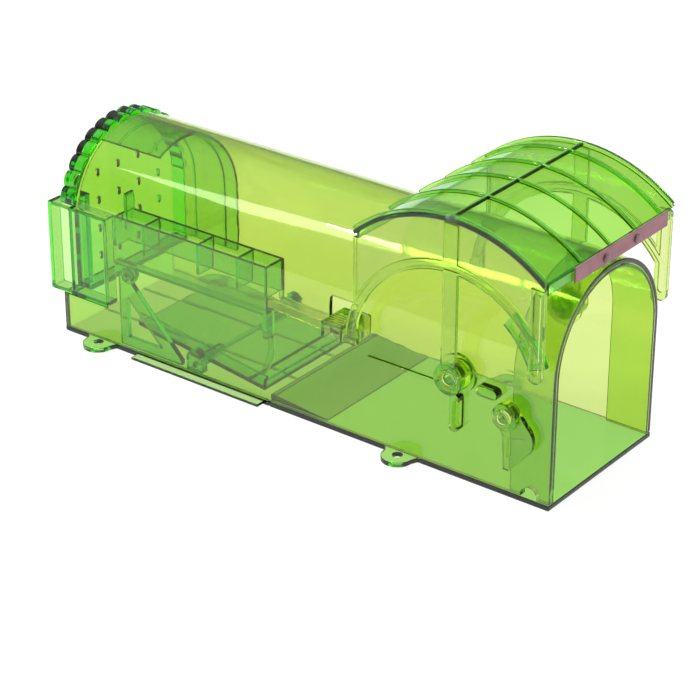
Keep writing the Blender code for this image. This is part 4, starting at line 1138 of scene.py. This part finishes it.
@dataclass
class RearEnd:
    """The pull-off cap, with its scalloped wall, slotted face and sleeve, and the slab in the near wall."""

    back: tuple[float, float] = (229.6 * MM, 237.2 * MM)
    foot: float = 17.5 * MM
    wall: float = 2.6 * MM
    face_back: float = 235.6 * MM
    sleeve_back: float = 200 * MM
    sleeve_wall: float = 1.2 * MM
    scallops: int = 15
    scallop_height: float = 1.45 * MM
    pitch: float = 12.2 * MM
    slab_depth: float = 7 * MM

    def outline(self, inward: float, scallop: float) -> np.ndarray:
        """Foot, far side, an arch of radius half + h |sin(n pi t)|^0.6 t from 0 to 1, and a step round the slab.

        Args:
            inward: how far inside the tunnel's outer face it runs.
            scallop: the height h of the scallops.

        Returns:
            The outline.
        """
        half = HALF - inward
        step_y = inward - (HALF - self.slab_depth - 0.3 * MM)
        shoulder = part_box("side_hatch")[1].z + MM + inward
        t = np.linspace(0, 1, self.scallops * 14 + 1)
        angle = t * (np.pi - math.asin((shoulder - ARCH_Z) / half))
        radius = half + scallop * np.abs(np.sin(self.scallops * np.pi * t)) ** 0.6
        crown = np.column_stack([radius * np.cos(angle), ARCH_Z + radius * np.sin(angle)])
        feet = [(step_y, self.foot + inward), (half, self.foot + inward)]
        return np.vstack([feet, crown, [(step_y, shoulder)]])

    def slots(self) -> list[Shape]:
        """Air slots on an even grid, wherever the face has room.

        Returns:
            The shapes to cut.
        """
        rear, front = span(self.face_back, self.back[1])
        shapes = []
        for row in range(4):
            for column in range(-2, 3):
                place = (column * self.pitch - 1.2 * MM, 27 * MM + row * self.pitch)
                near = -place[0] > HALF - 12 * MM and place[1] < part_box("side_hatch")[1].z + 5 * MM
                if not near and math.hypot(place[0], max(0, place[1] - ARCH_Z)) < HALF - 5 * MM:
                    shapes.append(pulled(slot_outline(place, 3.6 * MM, 1.8 * MM, True), rear - MM, front + MM,
                                         Plane.SECTION, 0))
        return shapes

    def cap(self) -> None:
        """The cup's scalloped wall and face, and the sleeve that slides inside the tunnel."""
        rear, front = span(*self.back)
        cup = pulled(self.outline(0, self.scallop_height), rear, front, Plane.SECTION, 0.45 * MM)
        hollow = pulled(self.outline(self.wall, 0), behind(self.face_back), front + MM, Plane.SECTION, 0)
        outer = HALF - 2.3 * MM
        inner = outer - self.sleeve_wall
        sleeve = np.vstack([[(outer, self.foot + 4.4 * MM)], arc((0, ARCH_Z), outer, 0, 118, 72),
                            arc((0, ARCH_Z), inner, 118, 0, 72), [(inner, self.foot + 4.4 * MM)]])
        tube = pulled(sleeve, *span(self.sleeve_back, self.face_back + 0.5 * MM), Plane.SECTION)
        cuffs = []
        for back in (206 * MM, 222 * MM):
            cuff_out, cuff_in, cuff_foot = inner + 0.2 * MM, inner - 0.7 * MM, self.foot + 5 * MM
            cuff = np.vstack([[(cuff_out, cuff_foot)], arc((0, ARCH_Z), cuff_out, 0, 117, 72),
                              arc((0, ARCH_Z), cuff_in, 117, 0, 72), [(cuff_in, cuff_foot)]])
            cuffs.append(pulled(cuff, *span(back, back + 1.2 * MM), Plane.SECTION, 0.2 * MM))
        Moulding("cap_cup", cup, [], [hollow]).merged("cap_moulding", [tube, *cuffs], self.slots()).make(
            DEEP, "cap", "rear_cap")

    def slab(self) -> None:
        """A thick panel, hollow from its inner side, with a rib down its middle."""
        low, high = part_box("side_hatch")
        wall = 1.4 * MM
        panel = block((low.x, high.x), (low.y, high.y), (low.z, high.z), 0.4 * MM)
        middle = low.x + 12 * MM
        hollows = [block(x, (low.y + wall, high.y + MM), (low.z + wall, high.z - wall), 0.4 * MM)
                   for x in ((low.x + wall, middle - 0.6 * MM), (middle + 0.6 * MM, high.x - wall))]
        Moulding("hatch_panel", panel, [], hollows).make(PLATE_SHADE_OFFSET, "housing", "side_hatch")

    def build(self) -> None:
        """Makes the cap and the slab."""
        self.cap()
        self.slab()


# ---------------------------------------------------------------- studio


@dataclass
class Studio:
    """A white sweep, soft lights, and the camera."""

    camera: tuple[float, float, float] = (0.5334, -0.6924, 0.4665)
    target: tuple[float, float, float] = (-0.0016, 0.0, 0.0118)
    lens: float = 128.1
    shift: tuple[float, float] = (0.0176, 0.0023)
    glow: float = 0.85
    sky: tuple[float, float] = (0.38, 0.8)

    def floor(self) -> None:
        """A wide matt white sheet that glows a little, as a light table does."""
        mesh = bpy.data.meshes.new("white_sheet")
        size, level = 6.0, -0.2 * MM
        corners = [(-size, -size, level), (size, -size, level), (size, size, level), (-size, size, level)]
        mesh.from_pydata(corners, [], [(0, 1, 2, 3)])
        material, tree = new_material("white_sheet")
        place = add(tree, "TexCoord").outputs["Object"]
        paper = add(tree, "TexNoise", {"Scale": 40, "Detail": 4}, {"Vector": place})
        grey = add(tree, "MapRange", {"To Min": 0.2, "To Max": 0.24}, {"Value": paper.outputs["Fac"]})
        shader = add(tree, "BsdfPrincipled", {"Roughness": 0.9, "Emission Color": (1, 1, 1, 1),
                                              "Emission Strength": self.glow},
                     {"Base Color": grey.outputs["Result"]})
        add(tree, "OutputMaterial", None, {"Surface": shader.outputs[0]})
        mesh.materials.append(material)
        sheet = bpy.data.objects.new("white_sheet", mesh)
        bpy.context.scene.collection.objects.link(sheet)

    def light(self, name: str, place: tuple[float, float, float], along: tuple[float, float, float],
              size: tuple[float, float], power: float) -> None:
        """A rectangular soft light that looks at the trap.

        Args:
            name: its name.
            place: where it hangs.
            along: the direction that its long side follows as nearly as can be.
            size: its two sides.
            power: its power in watts.
        """
        lamp = bpy.data.lights.new(name, "AREA")
        lamp.shape = "RECTANGLE"
        lamp.size, lamp.size_y = size
        lamp.energy = power
        item = bpy.data.objects.new(name, lamp)
        item.location = place
        back = (Vector(place) - Vector((0, 0, 0.05))).normalized()
        side = (Vector(along) - Vector(along).dot(back) * back).normalized()
        item.rotation_euler = Matrix((side, back.cross(side), back)).transposed().to_euler()
        bpy.context.scene.collection.objects.link(item)

    def build(self) -> None:
        """Makes the floor, lights, sky and camera."""
        scene = bpy.context.scene
        self.floor()
        world = bpy.data.worlds.new("studio")
        world.use_nodes = True
        tree = world.node_tree
        tree.nodes.clear()
        up = add(tree, "SeparateXYZ", None, {0: add(tree, "TexCoord").outputs["Generated"]})
        glow = add(tree, "MapRange",
                   {"From Min": 0.45, "From Max": 0.8, "To Min": self.sky[0], "To Max": self.sky[1]},
                   {"Value": up.outputs["Z"]}, interpolation_type="SMOOTHSTEP")
        sky = add(tree, "Background", {"Color": (1, 1, 1, 1)}, {"Strength": glow.outputs["Result"]})
        add(tree, "OutputWorld", None, {"Surface": sky.outputs[0]})
        scene.world = world
        slant = (0.58, 0.66, 0.456)
        self.light("streak_core", (-0.53, -0.26, 1.076), slant, (0.27, 0.11), 8)
        self.light("streak_halo", (-0.64, -0.386, 0.99), slant, (0.5, 0.14), 0.9)
        self.light("top_box", (0.2, 0.5, 1.3), (1, 0, 0), (0.8, 0.8), 6)
        camera = bpy.data.cameras.new("camera")
        camera.lens = self.lens
        camera.sensor_width = 36
        camera.shift_x, camera.shift_y = self.shift
        camera.clip_start = 0.01
        item = bpy.data.objects.new("camera", camera)
        item.location = self.camera
        item.rotation_euler = (Vector(self.target) - Vector(self.camera)).to_track_quat("-Z", "Y").to_euler()
        scene.collection.objects.link(item)
        scene.camera = item
        scene.view_settings.view_transform = "Standard"
        scene.cycles.max_bounces = 40
        scene.cycles.transmission_bounces = 40
        scene.cycles.transparent_max_bounces = 40


def main() -> None:
    """Builds the studio and every sub-assembly."""
    logging.basicConfig(level=logging.INFO, format="%(name)s: %(message)s", stream=sys.stdout)
    for part in (Studio(), Tunnel(), Floors(), Door(), Pawl(), TripLever(), Treadle(), RearEnd()):
        part.build()


if __name__ == "__main__":
    main()
